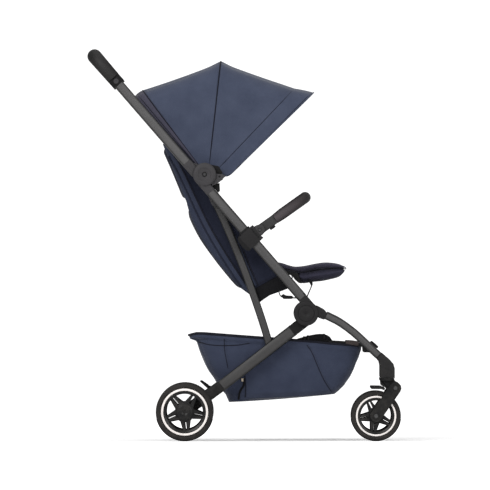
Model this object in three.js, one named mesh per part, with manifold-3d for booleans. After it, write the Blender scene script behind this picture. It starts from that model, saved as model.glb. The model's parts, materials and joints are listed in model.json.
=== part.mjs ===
// Compact folding baby stroller. Millimetres, +Z up, +X forward, +Y to the rider's left.
// The origin is on the floor, in the middle of the wheelbase.
// Side-view places are [x, z] pairs. Pieces that come in pairs are built for the
// left side (+Y) and mirrored for the right side.
import * as THREE from 'three';
import { mergeVertices } from 'three/addons/utils/BufferGeometryUtils.js';
import Module from 'manifold-3d';

// ---- Driving dimensions -------------------------------------------------------------
const FRAME_OUTER = 196;        // half width over the frame tubes
const TUBE_DEPTH = 18;          // every main tube, across the stroller
const FRAME_TUBE_WIDTH = 27;    // frame and push tubes, seen from the side
const REAR_LEG_WIDTH = 30;
const FRONT_LEG_WIDTH = 21.5;
const STRUT_WIDTH = 20.5;
const STRUT_DEPTH = 12;
const LAYER_GAP = 1;            // running gap between tubes that fold past each other
const SOFT_GAP = 3;             // fabric stays this far inside the struts
const FIT = 0.4;                // radial gap of a pin in its bore
const SEAM = 0.3;               // gap between pieces that touch
const TUBE_WALL = 1.8;

const REAR_WHEEL_RADIUS = 78;
const REAR_WHEEL_WIDTH = 25;
const REAR_WHEEL_X = -163;
const FRONT_WHEEL_RADIUS = 67;
const FRONT_WHEEL_WIDTH = 20;
const FRONT_WHEEL_X = 354;
const TYRE_DEPTH = 13;          // tread to rim
const WHEEL_GAP = 4;            // rear wheel to frame tube
const TRAIL = 30;               // front axle behind the swivel axis
const PUSH_TUBE_LENGTH = 280;
const GRIP_RADIUS = 18.5;
const BUTTON_TRAVEL = 3.5;
const COLLAR_WIDTH = 35;
const COLLAR_PROUD = 2;         // the handle collars stand out from the tube
const MAIN_HINGE_RADIUS = 33;
const UPPER_HINGE_RADIUS = 31;
const SWIVEL_HEIGHT = 169.5;    // seam between swivel head and elbow
const CANOPY_GAP = 1;           // canopy to the cranks beside it
const CANOPY_CORNER = 46;       // radius of its upper corners
const CANOPY_SKIN = 3;
const BASKET_SKIN = 3;

// ---- Layers across the stroller, from the outside in --------------------------------
const FRAME_INNER = FRAME_OUTER - TUBE_DEPTH;
const KNUCKLE_OUTER = FRAME_OUTER - 8.6;
const DISC_INNER = FRAME_OUTER - 8;
const DISC_OUTER = FRAME_OUTER + 1;
const LEG_OUTER = FRAME_INNER - LAYER_GAP;
const LEG_INNER = LEG_OUTER - TUBE_DEPTH;
const STRUT_OUTER = LEG_INNER - LAYER_GAP;
const STRUT_INNER = STRUT_OUTER - STRUT_DEPTH;
const SOFT_HALF = STRUT_INNER - SOFT_GAP;
const CANOPY_HALF = STRUT_OUTER - CANOPY_GAP;
const REAR_WHEEL_INNER = FRAME_OUTER + WHEEL_GAP;
const FRONT_WHEEL_MIDDLE = (FRAME_INNER + FRAME_OUTER) / 2;

// ---- Places in the side view --------------------------------------------------------
const MAIN_HINGE = [165.2, 344.3];
const UPPER_HINGE = [-109.4, 719.6];
const CANOPY_PIVOT = [-69, 714];
const BUMPER_PIVOT = [39.4, 569.7];
const STRUT_FOOT = [65.6, 256];
const STRUT_HEAD = [-80.9, 644.1];
const FRAME_TUBE_TOP = [-92.3, 672];
const FRAME_TUBE_END = [154.7, 386.6];
const PUSH_TUBE_START = [-158.5, 752];
const REAR_LEG_TOP = [128.8, 297];
const REAR_LEG_END = [-62.4, 148.8];
const REAR_CROSSBAR = [-90, 129];
const FRONT_LEG_TOP = [219.5, 338.8];
const FRONT_LEG_END = [361, 230];
const FRONT_CROSSBAR = [335, 250];
const REAR_AXLE = [REAR_WHEEL_X, REAR_WHEEL_RADIUS];
const FRONT_AXLE = [FRONT_WHEEL_X, FRONT_WHEEL_RADIUS];
const FORK_PIVOT = [FRONT_WHEEL_X + 52, FRONT_WHEEL_RADIUS + 75.6];
const SWIVEL_X = FRONT_WHEEL_X + TRAIL;
const SEAT_CROSSBAR = [120, 441];
const PEDAL_HINGE = [-101, 147];

const ARC = 3;                  // curve steps of a side-view outline
const ROUND = 20;               // sides of a turned piece
const HINGE_ROUND = 28;
const WHEEL_ROUND = 28;

// ---- Helpers ------------------------------------------------------------------------
const wasm = await Module();
wasm.setup();
const stroller = new THREE.Group();

function add(name, geometry, colour, roughness, metalness = 0) {
  const material = new THREE.MeshStandardMaterial({ color: colour, roughness, metalness });
  const mesh = new THREE.Mesh(outward(geometry), material);
  mesh.name = name;
  stroller.add(mesh);
}

function bare(geometry) {
  const plain = geometry.clone();
  for (const extra of ['normal', 'uv']) plain.deleteAttribute(extra);
  return mergeVertices(plain, 1e-4);
}

function flipped(geometry) {
  const index = geometry.index.array;
  for (let i = 0; i < index.length; i += 3) {
    [index[i], index[i + 1]] = [index[i + 1], index[i]];
  }
  return geometry;
}

// A closed mesh with its faces turned out, whichever way its profile ran.
function outward(geometry) {
  const plain = bare(geometry);
  const place = plain.attributes.position;
  const [a, b, c] = [0, 1, 2].map(() => new THREE.Vector3());
  let volume = 0;
  for (let i = 0; i < plain.index.count; i += 3) {
    a.fromBufferAttribute(place, plain.index.getX(i));
    b.fromBufferAttribute(place, plain.index.getX(i + 1));
    c.fromBufferAttribute(place, plain.index.getX(i + 2));
    volume += a.dot(b.cross(c));
  }
  return volume < 0 ? flipped(plain) : plain;
}

function solid(geometry) {
  const plain = outward(geometry);
  const kept = [];
  for (let i = 0; i < plain.index.count; i += 3) {
    const corner = [0, 1, 2].map((k) => plain.index.getX(i + k));
    if (new Set(corner).size === 3) kept.push(...corner);
  }
  const vertProperties = new Float32Array(plain.attributes.position.array);
  return new wasm.Manifold(new wasm.Mesh({
    numProp: 3, vertProperties, triVerts: new Uint32Array(kept),
  }));
}

function geometryOf(manifold) {
  const mesh = manifold.getMesh();
  const geometry = new THREE.BufferGeometry();
  geometry.setAttribute('position', new THREE.BufferAttribute(mesh.vertProperties, 3));
  geometry.setIndex(new THREE.BufferAttribute(mesh.triVerts, 1));
  return geometry;
}

const join = (...pieces) => geometryOf(pieces.map(solid).reduce((all, piece) => all.add(piece)));
const cut = (base, ...tools) => geometryOf(
  tools.map(solid).reduce((rest, tool) => rest.subtract(tool), solid(base)));

// The same piece for the other side.
function mirrored(geometry) {
  return flipped(bare(geometry).scale(1, -1, 1));
}

function pair(name, geometry, ...look) {
  add(`${name}_left`, geometry, ...look);
  add(`${name}_right`, mirrored(geometry), ...look);
}

const between = (a, b, share) => [a[0] + (b[0] - a[0]) * share, a[1] + (b[1] - a[1]) * share];
const span = (a, b) => Math.hypot(b[0] - a[0], b[1] - a[1]);
const beyond = (a, b, extra) => between(a, b, 1 + extra / span(a, b));
const outline = (...points) => new THREE.Shape(points.map(([x, z]) => new THREE.Vector2(x, z)));

// A side-view outline as a plate from y = low to y = high.
function plate(shape, low, high) {
  const depth = high - low;
  const flat = new THREE.ExtrudeGeometry(shape, { depth, bevelEnabled: false, curveSegments: ARC });
  return flat.rotateX(Math.PI / 2).translate(0, high, 0);
}

// The outline of two round ends and their common tangents.
function link(a, radiusA, b, radiusB) {
  const along = Math.atan2(b[1] - a[1], b[0] - a[0]);
  const lean = Math.acos((radiusA - radiusB) / span(a, b));
  const shape = new THREE.Shape();
  shape.absarc(a[0], a[1], radiusA, along + lean, along - lean + 2 * Math.PI, false);
  shape.absarc(b[0], b[1], radiusB, along - lean, along + lean, false);
  return shape;
}

const disc = (centre, radius, low, high, sides = ROUND) =>
  new THREE.CylinderGeometry(radius, radius, high - low, sides)
    .translate(centre[0], (low + high) / 2, centre[1]);

function roundedSection(across, width, corner) {
  const [x, y] = [across / 2, width / 2];
  const shape = new THREE.Shape();
  for (const [sx, sy, start] of [[1, 1, 0], [-1, 1, 0.5], [-1, -1, 1], [1, -1, 1.5]]) {
    shape.absarc(sx * (x - corner), sy * (y - corner), corner,
      start * Math.PI, (start + 0.5) * Math.PI, false);
  }
  return shape;
}

// A straight tube of rounded section in the side view, between y = low and y = high.
function bar(a, b, width, low, high, corner = 6) {
  const middle = (low + high) / 2;
  const path = new THREE.LineCurve3(
    new THREE.Vector3(a[0], middle, a[1]), new THREE.Vector3(b[0], middle, b[1]));
  return new THREE.ExtrudeGeometry(roundedSection(high - low, width, corner),
    { extrudePath: path, steps: 1, curveSegments: 1 });
}

// A bar with an open bore from end to end.
const tube = (a, b, width, low, high) => cut(bar(a, b, width, low, high),
  bar(beyond(b, a, 2), beyond(a, b, 2), width - 2 * TUBE_WALL, low + TUBE_WALL, high - TUBE_WALL, 4.5));

const roundTube = (centre, radius, half) => cut(disc(centre, radius, -half, half),
  disc(centre, radius - TUBE_WALL, -half - 1, half + 1));

// The space that a bar leaves for what wraps it.
const room = (a, b, width, low, high) =>
  bar(beyond(b, a, SEAM), beyond(a, b, SEAM), width + 2 * SEAM, low - SEAM, high + SEAM);

const sweep = (points, section, steps) => new THREE.ExtrudeGeometry(section, {
  extrudePath: new THREE.CatmullRomCurve3(points, false, 'centripetal'),
  steps, curveSegments: 1,
});

const roundSection = (radius, sides) => new THREE.Shape(Array.from({ length: sides }, (_, i) => {
  const turn = 2 * Math.PI * i / sides;
  return new THREE.Vector2(radius * Math.cos(turn), radius * Math.sin(turn));
}));

// A closed skin between an outer and an inner grid of points of the same size.
// Rows that close on themselves are rings, which may end in a flat cap.
function skin(outer, inner, ring = false) {
  const [rows, columns] = [outer.length, outer[0].length];
  const points = [...outer, ...inner].flat().flat();
  const at = (side, i, j) => side * rows * columns + i * columns + (j % columns);
  const faces = [];
  const quad = (a, b, c, d) => faces.push(a, b, c, a, c, d);
  const last = ring ? columns : columns - 1;
  for (let i = 0; i < rows - 1; i += 1) {
    for (let j = 0; j < last; j += 1) {
      quad(at(0, i, j), at(0, i, j + 1), at(0, i + 1, j + 1), at(0, i + 1, j));
      quad(at(1, i, j), at(1, i + 1, j), at(1, i + 1, j + 1), at(1, i, j + 1));
    }
    if (!ring) {
      quad(at(0, i, 0), at(0, i + 1, 0), at(1, i + 1, 0), at(1, i, 0));
      quad(at(0, i, last), at(1, i, last), at(1, i + 1, last), at(0, i + 1, last));
    }
  }
  for (let j = 0; j < last; j += 1) {
    quad(at(0, 0, j), at(1, 0, j), at(1, 0, j + 1), at(0, 0, j + 1));
    if (ring) {
      if (j > 0 && j < last - 1) {
        faces.push(at(0, rows - 1, 0), at(0, rows - 1, j), at(0, rows - 1, j + 1));
        faces.push(at(1, rows - 1, 0), at(1, rows - 1, j + 1), at(1, rows - 1, j));
      }
    } else {
      quad(at(0, rows - 1, j), at(0, rows - 1, j + 1), at(1, rows - 1, j + 1), at(1, rows - 1, j));
    }
  }
  const geometry = new THREE.BufferGeometry();
  geometry.setAttribute('position', new THREE.Float32BufferAttribute(points, 3));
  geometry.setIndex(faces);
  return geometry;
}

// ---- Wheels ------------------------------------------------------------------------
const ANTHRACITE = 0x4c4b4d;
const BLACK = 0x232224;
const NAVY = 0x343b50;
const DARK_NAVY = 0x232a3e;
const LEATHER = 0x2f2928;
const AXLE_RADIUS = 5;

const turned = (profile, sides = WHEEL_ROUND) => new THREE.LatheGeometry(
  profile.map(([r, y]) => new THREE.Vector2(r, y)), sides);

// A wheel is turned about its own axle, with its inner face at y = 0 and its outer at y = width.
function wheel(name, centre, inner, radius, width, hubRadius, blind) {
  const seat = radius - TYRE_DEPTH;
  const rimInner = seat * 0.76;
  const shoulder = TYRE_DEPTH * 0.45;
  const place = (geometry) => geometry.translate(centre[0], inner, centre[1]);
  const tyre = turned([
    [seat + SEAM, 1.5], [seat + shoulder, 0], [radius - 2.5, width * 0.16], [radius, width * 0.36],
    [radius, width * 0.64], [radius - 2.5, width * 0.84], [seat + shoulder, width],
    [seat + SEAM, width - 1.5], [seat + SEAM, 1.5],
  ]);
  const ring = turned([
    [rimInner, 4], [seat, 2], [seat, width - 2], [rimInner, width - 4], [rimInner, 4],
  ]);
  const bore = AXLE_RADIUS + FIT;
  const bottom = blind ? width - 5 : width + 1;
  const hub = turned([[0, 1], [hubRadius, 1], [hubRadius, width - 2], [hubRadius - 4, width], [0, width]]);
  const spokes = [];
  for (let arm = 0; arm < 5; arm += 1) {
    for (const side of [-1, 1]) {
      const spoke = new THREE.BoxGeometry(rimInner + 3 - hubRadius * 0.6, width - 9, 6);
      spoke.translate((rimInner + 3 + hubRadius * 0.6) / 2, width / 2, side * hubRadius * 0.32);
      spokes.push(spoke.rotateY(-Math.PI * 2 * (arm / 5 + 0.19)));
    }
  }
  const rim = cut(join(ring, hub, ...spokes), disc([0, 0], bore, -1, bottom, 20));
  pair(`${name}_tyre`, place(tyre), BLACK, 0.85);
  pair(`${name}_rim`, place(rim), BLACK, 0.45);
}

wheel('rear_wheel', REAR_AXLE, REAR_WHEEL_INNER, REAR_WHEEL_RADIUS, REAR_WHEEL_WIDTH, 26.7, true);
wheel('front_wheel', FRONT_AXLE, FRONT_WHEEL_MIDDLE - FRONT_WHEEL_WIDTH / 2,
  FRONT_WHEEL_RADIUS, FRONT_WHEEL_WIDTH, 21, false);

// ---- Frame tubes and hinges -----------------------------------------------------------
const PIN_RADIUS = 7;
const HEAD_RADIUS = 11;
const HINGE_NECK = 13;

const frameRoom = room(FRAME_TUBE_TOP, FRAME_TUBE_END, FRAME_TUBE_WIDTH, FRAME_INNER, FRAME_OUTER);

pair('frame_tube', tube(FRAME_TUBE_TOP, FRAME_TUBE_END, FRAME_TUBE_WIDTH, FRAME_INNER, FRAME_OUTER),
  ANTHRACITE, 0.4, 0.6);

// Upper hinge: the outer disc, the coupling that holds the frame tube, and a tail behind them
// with the pin that carries the canopy.
const CANOPY_PIN = 4;
const CANOPY_HUB = 11;
const TAIL_INNER = LEG_OUTER - 9;
const tailRoot = beyond(UPPER_HINGE, FRAME_TUBE_TOP, -10);
const tail = [[-105, 686], [-97, 678], [-86, 690], [-72, 699], [-61, 708], [-53, 716], [-62, 721],
  [-76, 721], [-98, 700]];
const upperBlock = cut(
  bar(beyond(FRAME_TUBE_END, FRAME_TUBE_TOP, 48), beyond(FRAME_TUBE_END, FRAME_TUBE_TOP, SEAM),
    FRAME_TUBE_WIDTH, FRAME_INNER, FRAME_OUTER),
  disc(UPPER_HINGE, UPPER_HINGE_RADIUS - 1.4, FRAME_INNER - 1, DISC_INNER - 0.3));
pair('upper_hinge', join(
  disc(UPPER_HINGE, UPPER_HINGE_RADIUS, DISC_INNER, DISC_OUTER, HINGE_ROUND), upperBlock,
  disc(UPPER_HINGE, UPPER_HINGE_RADIUS * 0.55, DISC_OUTER - 1, DISC_OUTER + 2),
  disc(UPPER_HINGE, PIN_RADIUS, LEG_INNER + 1, DISC_INNER + 2),
  plate(outline(...tail), TAIL_INNER, FRAME_INNER - SEAM),
  disc(tailRoot, 6, FRAME_INNER - 2, FRAME_INNER + 0.5),
  disc(CANOPY_PIVOT, CANOPY_PIN, STRUT_INNER + 0.5, TAIL_INNER + 1),
), BLACK, 0.5);

// Main hinge: the outer disc with its neck to the frame tube, and the pin through both legs.
// Each neck runs straight on from its tube until the disc hides it.
const frameNeck = beyond(FRAME_TUBE_TOP, FRAME_TUBE_END, MAIN_HINGE_RADIUS);
const rearNeck = beyond(REAR_LEG_END, REAR_LEG_TOP, MAIN_HINGE_RADIUS + 12);
const frontNeck = [MAIN_HINGE[0] + MAIN_HINGE_RADIUS - 6, MAIN_HINGE[1] + 9.3];
const FRONT_NECK_RADIUS = 11.5;
pair('main_hinge', join(
  disc(MAIN_HINGE, MAIN_HINGE_RADIUS, DISC_INNER, DISC_OUTER, HINGE_ROUND),
  cut(plate(link(frameNeck, HINGE_NECK, FRAME_TUBE_END, HINGE_NECK), DISC_INNER, FRAME_OUTER),
    frameRoom),
  disc(MAIN_HINGE, PIN_RADIUS, LEG_INNER - 0.3, DISC_INNER + 2),
  disc(MAIN_HINGE, HEAD_RADIUS, STRUT_OUTER - 2, LEG_INNER - 0.3),
  disc(MAIN_HINGE, MAIN_HINGE_RADIUS * 0.64, DISC_OUTER - 1, DISC_OUTER + 2.3),
), BLACK, 0.5);

// ---- Push bar ---------------------------------------------------------------------------
const lineStep = [(FRAME_TUBE_END[0] - FRAME_TUBE_TOP[0]) / span(FRAME_TUBE_TOP, FRAME_TUBE_END),
  (FRAME_TUBE_END[1] - FRAME_TUBE_TOP[1]) / span(FRAME_TUBE_TOP, FRAME_TUBE_END)];
const upTheTube = (distance) => [
  PUSH_TUBE_START[0] - lineStep[0] * distance, PUSH_TUBE_START[1] - lineStep[1] * distance];
const pushTubeEnd = upTheTube(PUSH_TUBE_LENGTH);
const collarEnd = upTheTube(PUSH_TUBE_LENGTH + 21);
const boreA = disc(UPPER_HINGE, PIN_RADIUS + FIT, LEG_INNER - 5, DISC_INNER);
pair('push_tube', join(
  tube(pushTubeEnd, PUSH_TUBE_START, FRAME_TUBE_WIDTH, FRAME_INNER, FRAME_OUTER),
  bar(upTheTube(PUSH_TUBE_LENGTH - 2), collarEnd, COLLAR_WIDTH,
    FRAME_INNER - COLLAR_PROUD, FRAME_OUTER + COLLAR_PROUD, 8),
), ANTHRACITE, 0.4, 0.6);
pair('push_hinge', cut(join(
  disc(UPPER_HINGE, UPPER_HINGE_RADIUS - 3, FRAME_INNER, KNUCKLE_OUTER),
  plate(link(UPPER_HINGE, 20, upTheTube(-13), 12), FRAME_INNER, KNUCKLE_OUTER),
  cut(bar(upTheTube(-SEAM), upTheTube(-40), FRAME_TUBE_WIDTH, FRAME_INNER, FRAME_OUTER),
    disc(UPPER_HINGE, UPPER_HINGE_RADIUS + 1, KNUCKLE_OUTER, DISC_OUTER + 2, HINGE_ROUND)),
  plate(link(UPPER_HINGE, 14, STRUT_HEAD, 11), LEG_INNER + 0.5, TAIL_INNER - LAYER_GAP),
  disc(UPPER_HINGE, 14, LEG_INNER + 1, FRAME_INNER + 1),
), boreA), BLACK, 0.5);

// U-shaped handlebar: up from both collars, then across.
const gripAt = (distance, y) => {
  const [x, z] = upTheTube(PUSH_TUBE_LENGTH + distance);
  return new THREE.Vector3(x, y, z);
};
const gripReach = 97;
const gripSide = (FRAME_INNER + FRAME_OUTER) / 2;
const gripPath = [[21 + SEAM, gripSide], [48, gripSide], [76, gripSide - 6], [91, gripSide - 27],
  [gripReach, gripSide - 62], [gripReach, 60]];
const gripPoints = [...gripPath, ...gripPath.slice().reverse().map(([d, y]) => [d, -y])]
  .map(([distance, y]) => gripAt(distance, y));
const buttonDepth = 9;
const buttonBase = gripAt(gripReach + GRIP_RADIUS - buttonDepth, 0);
function foldButton(clearance) {
  const box = new THREE.BoxGeometry(16 + 2 * clearance, 46 + 2 * clearance, 14 + clearance * 2);
  return box.rotateY(Math.atan2(-lineStep[0], -lineStep[1])).translate(buttonBase.x, 0, buttonBase.z);
}
const buttonRoom = foldButton(0.6);
const pressedRoom = buttonRoom.clone().translate(lineStep[0] * BUTTON_TRAVEL, 0, lineStep[1] * BUTTON_TRAVEL);
add('handlebar_grip', cut(sweep(gripPoints, roundSection(GRIP_RADIUS, 10), 22), buttonRoom, pressedRoom),
  LEATHER, 0.7);
add('fold_button', foldButton(0), BLACK, 0.5);

// ---- Struts that drive the fold -----------------------------------------------------------
const strutPin = 5;
pair('strut', cut(
  plate(link(STRUT_FOOT, STRUT_WIDTH / 2, STRUT_HEAD, STRUT_WIDTH / 2), STRUT_INNER, STRUT_OUTER),
  disc(STRUT_FOOT, strutPin + FIT, STRUT_INNER - 1, STRUT_OUTER + 1),
), ANTHRACITE, 0.45, 0.5);

// ---- Rear legs ----------------------------------------------------------------------------
const legRoom = room(REAR_LEG_END, REAR_LEG_TOP, REAR_LEG_WIDTH, LEG_INNER, LEG_OUTER);
const boreB = disc(MAIN_HINGE, PIN_RADIUS + FIT, LEG_INNER - 5, DISC_INNER);
pair('rear_leg_tube', join(
  tube(REAR_LEG_END, REAR_LEG_TOP, REAR_LEG_WIDTH, LEG_INNER, LEG_OUTER),
  disc(STRUT_FOOT, strutPin, STRUT_INNER - 1, LEG_INNER + 1),
  disc(STRUT_FOOT, strutPin + 3, STRUT_INNER - 2.6, STRUT_INNER - 0.6),
), ANTHRACITE, 0.4, 0.6);
pair('rear_leg_hinge', cut(join(
  disc(MAIN_HINGE, MAIN_HINGE_RADIUS - 8, LEG_INNER, LEG_OUTER),
  plate(link(rearNeck, REAR_LEG_WIDTH / 2, beyond(REAR_LEG_END, REAR_LEG_TOP, 8), REAR_LEG_WIDTH / 2),
    LEG_INNER, LEG_OUTER)), boreB, legRoom), BLACK, 0.5);
pair('rear_bracket', join(
  cut(bar(REAR_CROSSBAR, beyond(REAR_LEG_TOP, REAR_LEG_END, -2), REAR_LEG_WIDTH, LEG_INNER, LEG_OUTER),
    legRoom),
  plate(link(REAR_CROSSBAR, 15.5, REAR_AXLE, 14), LEG_INNER, LEG_OUTER),
  disc(REAR_AXLE, 9, LEG_OUTER - 2, REAR_WHEEL_INNER - 0.5),
  disc(REAR_AXLE, AXLE_RADIUS, REAR_WHEEL_INNER - 2, REAR_WHEEL_INNER + REAR_WHEEL_WIDTH - 7),
), BLACK, 0.5);
add('rear_crossbar', roundTube(REAR_CROSSBAR, 12, LEG_INNER - SEAM), ANTHRACITE, 0.4, 0.6);
add('brake_pedal', plate(outline(
  [PEDAL_HINGE[0] + 3, PEDAL_HINGE[1] - 4], [PEDAL_HINGE[0] + 3, PEDAL_HINGE[1] + 3],
  [PEDAL_HINGE[0] - 16, PEDAL_HINGE[1] + 16], [PEDAL_HINGE[0] - 22, PEDAL_HINGE[1] + 14],
  [PEDAL_HINGE[0] - 8, PEDAL_HINGE[1] + 0.5]), -38, 38), BLACK, 0.5);

// ---- Front legs, swivel heads and forks ---------------------------------------------------
const frontPath = [FRONT_LEG_TOP, [254, 321.5], [291, 295], [330, 260], FRONT_LEG_END];
pair('front_leg_tube', sweep(
  frontPath.map(([x, z]) => new THREE.Vector3(x, (FRAME_INNER + FRAME_OUTER) / 2, z)),
  roundedSection(TUBE_DEPTH, FRONT_LEG_WIDTH, 6), 12), ANTHRACITE, 0.4, 0.6);
pair('front_leg_hinge', cut(join(
  disc(MAIN_HINGE, MAIN_HINGE_RADIUS - 4, FRAME_INNER, KNUCKLE_OUTER),
  cut(plate(link(frontNeck, FRONT_NECK_RADIUS, beyond(frontNeck, FRONT_LEG_TOP, -13), FRONT_NECK_RADIUS),
    FRAME_INNER, FRAME_OUTER),
    disc(MAIN_HINGE, MAIN_HINGE_RADIUS + 1, KNUCKLE_OUTER, DISC_OUTER + 2, HINGE_ROUND)),
), boreB), BLACK, 0.5);
const stemRadius = 6;
const swivelBottom = SWIVEL_HEIGHT + SEAM;
pair('elbow', cut(
  plate(outline([365, swivelBottom], [404.5, swivelBottom], [404.5, 196], [401, 208], [390, 220.5],
    [370.4, 237.6], [355.6, 221.6], [362.5, 213], [365, 203]), FRAME_INNER - 4, FRAME_OUTER + 4),
  new THREE.CylinderGeometry(stemRadius + FIT, stemRadius + FIT, 60, 20)
    .rotateX(Math.PI / 2).translate(SWIVEL_X, FRONT_WHEEL_MIDDLE, SWIVEL_HEIGHT),
  sweep(frontPath.map(([x, z]) => new THREE.Vector3(x, (FRAME_INNER + FRAME_OUTER) / 2, z)),
    roundedSection(TUBE_DEPTH + 2 * SEAM, FRONT_LEG_WIDTH + 2 * SEAM, 6), 12),
), BLACK, 0.5);
add('front_crossbar', roundTube(FRONT_CROSSBAR, 10.5, FRAME_INNER - SEAM),
  BLACK, 0.5);

const armGap = FRONT_WHEEL_WIDTH / 2 + 1.5;
const armDepth = 6;
const middle = FRONT_WHEEL_MIDDLE;
const lug = FORK_PIVOT[1] + 17;
pair('swivel_head', cut(join(
  new THREE.CylinderGeometry(19.5, 19.5, SWIVEL_HEIGHT - lug - 2.5, ROUND).rotateX(Math.PI / 2)
    .translate(SWIVEL_X, middle, (SWIVEL_HEIGHT + lug + 2.5) / 2),
  plate(outline([SWIVEL_X - 18, SWIVEL_HEIGHT - 3], [SWIVEL_X - 16, FORK_PIVOT[1] + 7],
    [FORK_PIVOT[0] - 12, FORK_PIVOT[1] - 8], [FORK_PIVOT[0], FORK_PIVOT[1] - 13],
    [FORK_PIVOT[0] + 11, FORK_PIVOT[1] - 7], [FORK_PIVOT[0] + 12, FORK_PIVOT[1] + 6],
    [SWIVEL_X + 18, SWIVEL_HEIGHT - 3]), middle - 9.5, middle + 9.5),
  new THREE.CylinderGeometry(stemRadius, stemRadius, 40, 20).rotateX(Math.PI / 2)
    .translate(SWIVEL_X, middle, SWIVEL_HEIGHT + 5),
), disc(FORK_PIVOT, 5 + FIT, middle - 20, middle + 20, 20)), BLACK, 0.5);
const arm = (side) => plate(link(FRONT_AXLE, 16, FORK_PIVOT, 16.5),
  side > 0 ? middle + armGap : middle - armGap - armDepth,
  side > 0 ? middle + armGap + armDepth : middle - armGap);
const armEnd = armGap + armDepth;
pair('front_fork', join(arm(1), arm(-1),
  disc(FORK_PIVOT, 5, middle - armGap - 1, middle + armGap + 1, 20),
  disc(FRONT_AXLE, AXLE_RADIUS, middle - armGap - 1, middle + armGap + 1, 20),
  disc(FORK_PIVOT, 8, middle + armEnd - 1, middle + armEnd + 1.5, 20),
  disc(FRONT_AXLE, 8, middle + armEnd - 1, middle + armEnd + 1.5, 20),
), BLACK, 0.5);
const leverRoot = [SWIVEL_X - 17.5, FORK_PIVOT[1] + 0.7];
pair('swivel_lock', plate(outline([leverRoot[0], leverRoot[1] - 3.5], [leverRoot[0], leverRoot[1] + 3.5],
  [leverRoot[0] - 25, leverRoot[1] + 2.6], [leverRoot[0] - 28, leverRoot[1]],
  [leverRoot[0] - 25, leverRoot[1] - 3.2]), middle - 8, middle + 8), BLACK, 0.5);

// ---- Seat -------------------------------------------------------------------------------
const padHalf = SOFT_HALF - 5;
add('seat_base', plate(outline([30, 396], [37.5, 372], [64.5, 394], [89, 402], [107, 409], [108, 425],
  [98, 440], [85, 443], [40, 427], [24, 412]), -padHalf, padHalf), BLACK, 0.55);
add('seat_crossbar', roundTube(SEAT_CROSSBAR, 9, FRAME_INNER - SEAM),
  ANTHRACITE, 0.4, 0.6);
add('seat_cushion', plate(outline([22, 440], [85, 446], [136, 455], [136, 478], [92, 481], [22, 470]),
  -padHalf, padHalf), DARK_NAVY, 0.9);
const backrest = [[14, 428], [-110, 548], [-149, 640], [-213, 798], [-190, 808], [-124, 652],
  [-86, 566], [19, 464]];
add('backrest', plate(outline(...backrest), -padHalf, padHalf), DARK_NAVY, 0.9);
// The fabric shell: both sides and the sling behind the backrest, in one piece.
const sideShape = outline([12, 406], [-116, 545], [-154, 640], [-222, 808], [-205, 816],
  [-70, 662], [92, 470], [84, 447], [38, 431]);
const sling = outline([12, 406], [-116, 545], [-154, 640], [-222, 808], [-225.2, 806.8],
  [-157.4, 639.2], [-119, 543], [9, 404]);
add('seat_shell', join(
  plate(sideShape, padHalf + 1.5, SOFT_HALF),
  plate(sideShape, -SOFT_HALF, -padHalf - 1.5),
  plate(sling, -SOFT_HALF, SOFT_HALF),
), DARK_NAVY, 0.9);
add('harness_buckle', plate(outline([54, 484.4], [54, 481], [92, 484.4], [90, 494], [58, 491]), -22, 22),
  BLACK, 0.5);
add('legrest', plate(outline([139, 467], [172, 473], [213, 480], [244, 477], [265, 473], [274, 466],
  [255, 444], [224, 436], [182, 430], [152, 438], [139, 448]), -padHalf, padHalf), DARK_NAVY, 0.9);

// ---- Bumper bar --------------------------------------------------------------------------
const clampMiddle = between(FRAME_TUBE_TOP, FRAME_TUBE_END, 0.42);
const clampHalf = 23;
const clampWall = 3.6;
const clampA = beyond(FRAME_TUBE_END, clampMiddle, clampHalf);
const clampB = beyond(FRAME_TUBE_TOP, clampMiddle, clampHalf);
const bumperPin = 5;
pair('bumper_clamp', join(
  cut(join(
    bar(clampA, clampB, FRAME_TUBE_WIDTH + 2 * clampWall, FRAME_INNER, FRAME_OUTER + clampWall, 6),
    plate(link(between(clampA, clampB, 0.5), 17, BUMPER_PIVOT, 15), FRAME_INNER, FRAME_OUTER),
  ), frameRoom),
  disc(BUMPER_PIVOT, bumperPin, LEG_INNER + 1, FRAME_INNER + 2, 20),
), BLACK, 0.5);
const BUMPER_SEAM = [80.5, 600.5];
const BUMPER_TIP = [160, 658.5];
// The arms stay clear of the collars, which fold down beside them.
const armLow = LEG_INNER + 1;
const armHigh = FRAME_INNER - COLLAR_PROUD - LAYER_GAP;
const bumperBore = disc(BUMPER_PIVOT, bumperPin + FIT, armLow - 2, armHigh + 2);
const bumperArm = cut(join(
  plate(link(BUMPER_PIVOT, 11.5, between(BUMPER_PIVOT, BUMPER_SEAM, 0.5), 12), armLow, armHigh),
  bar(between(BUMPER_PIVOT, BUMPER_SEAM, 0.3), beyond(BUMPER_PIVOT, BUMPER_SEAM, -SEAM), 23,
    armLow, armHigh, 7),
), bumperBore);
const bumperAt = (share, y) => {
  const [x, z] = between(BUMPER_SEAM, BUMPER_TIP, share);
  return new THREE.Vector3(x, y, z);
};
const bumperSide = (armLow + armHigh) / 2;
const bumperPath = [[-0.02, bumperSide], [0.32, bumperSide], [0.68, bumperSide - 8], [0.92, bumperSide - 32],
  [1, bumperSide - 70], [1.04, 45]];
const bumperPoints = [...bumperPath, ...bumperPath.slice().reverse().map(([d, y]) => [d, -y])]
  .map(([share, y]) => bumperAt(share, y));
add('bumper_bar', join(bumperArm, mirrored(bumperArm), sweep(bumperPoints, roundSection(14, 8), 22)),
  LEATHER, 0.7);

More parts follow.
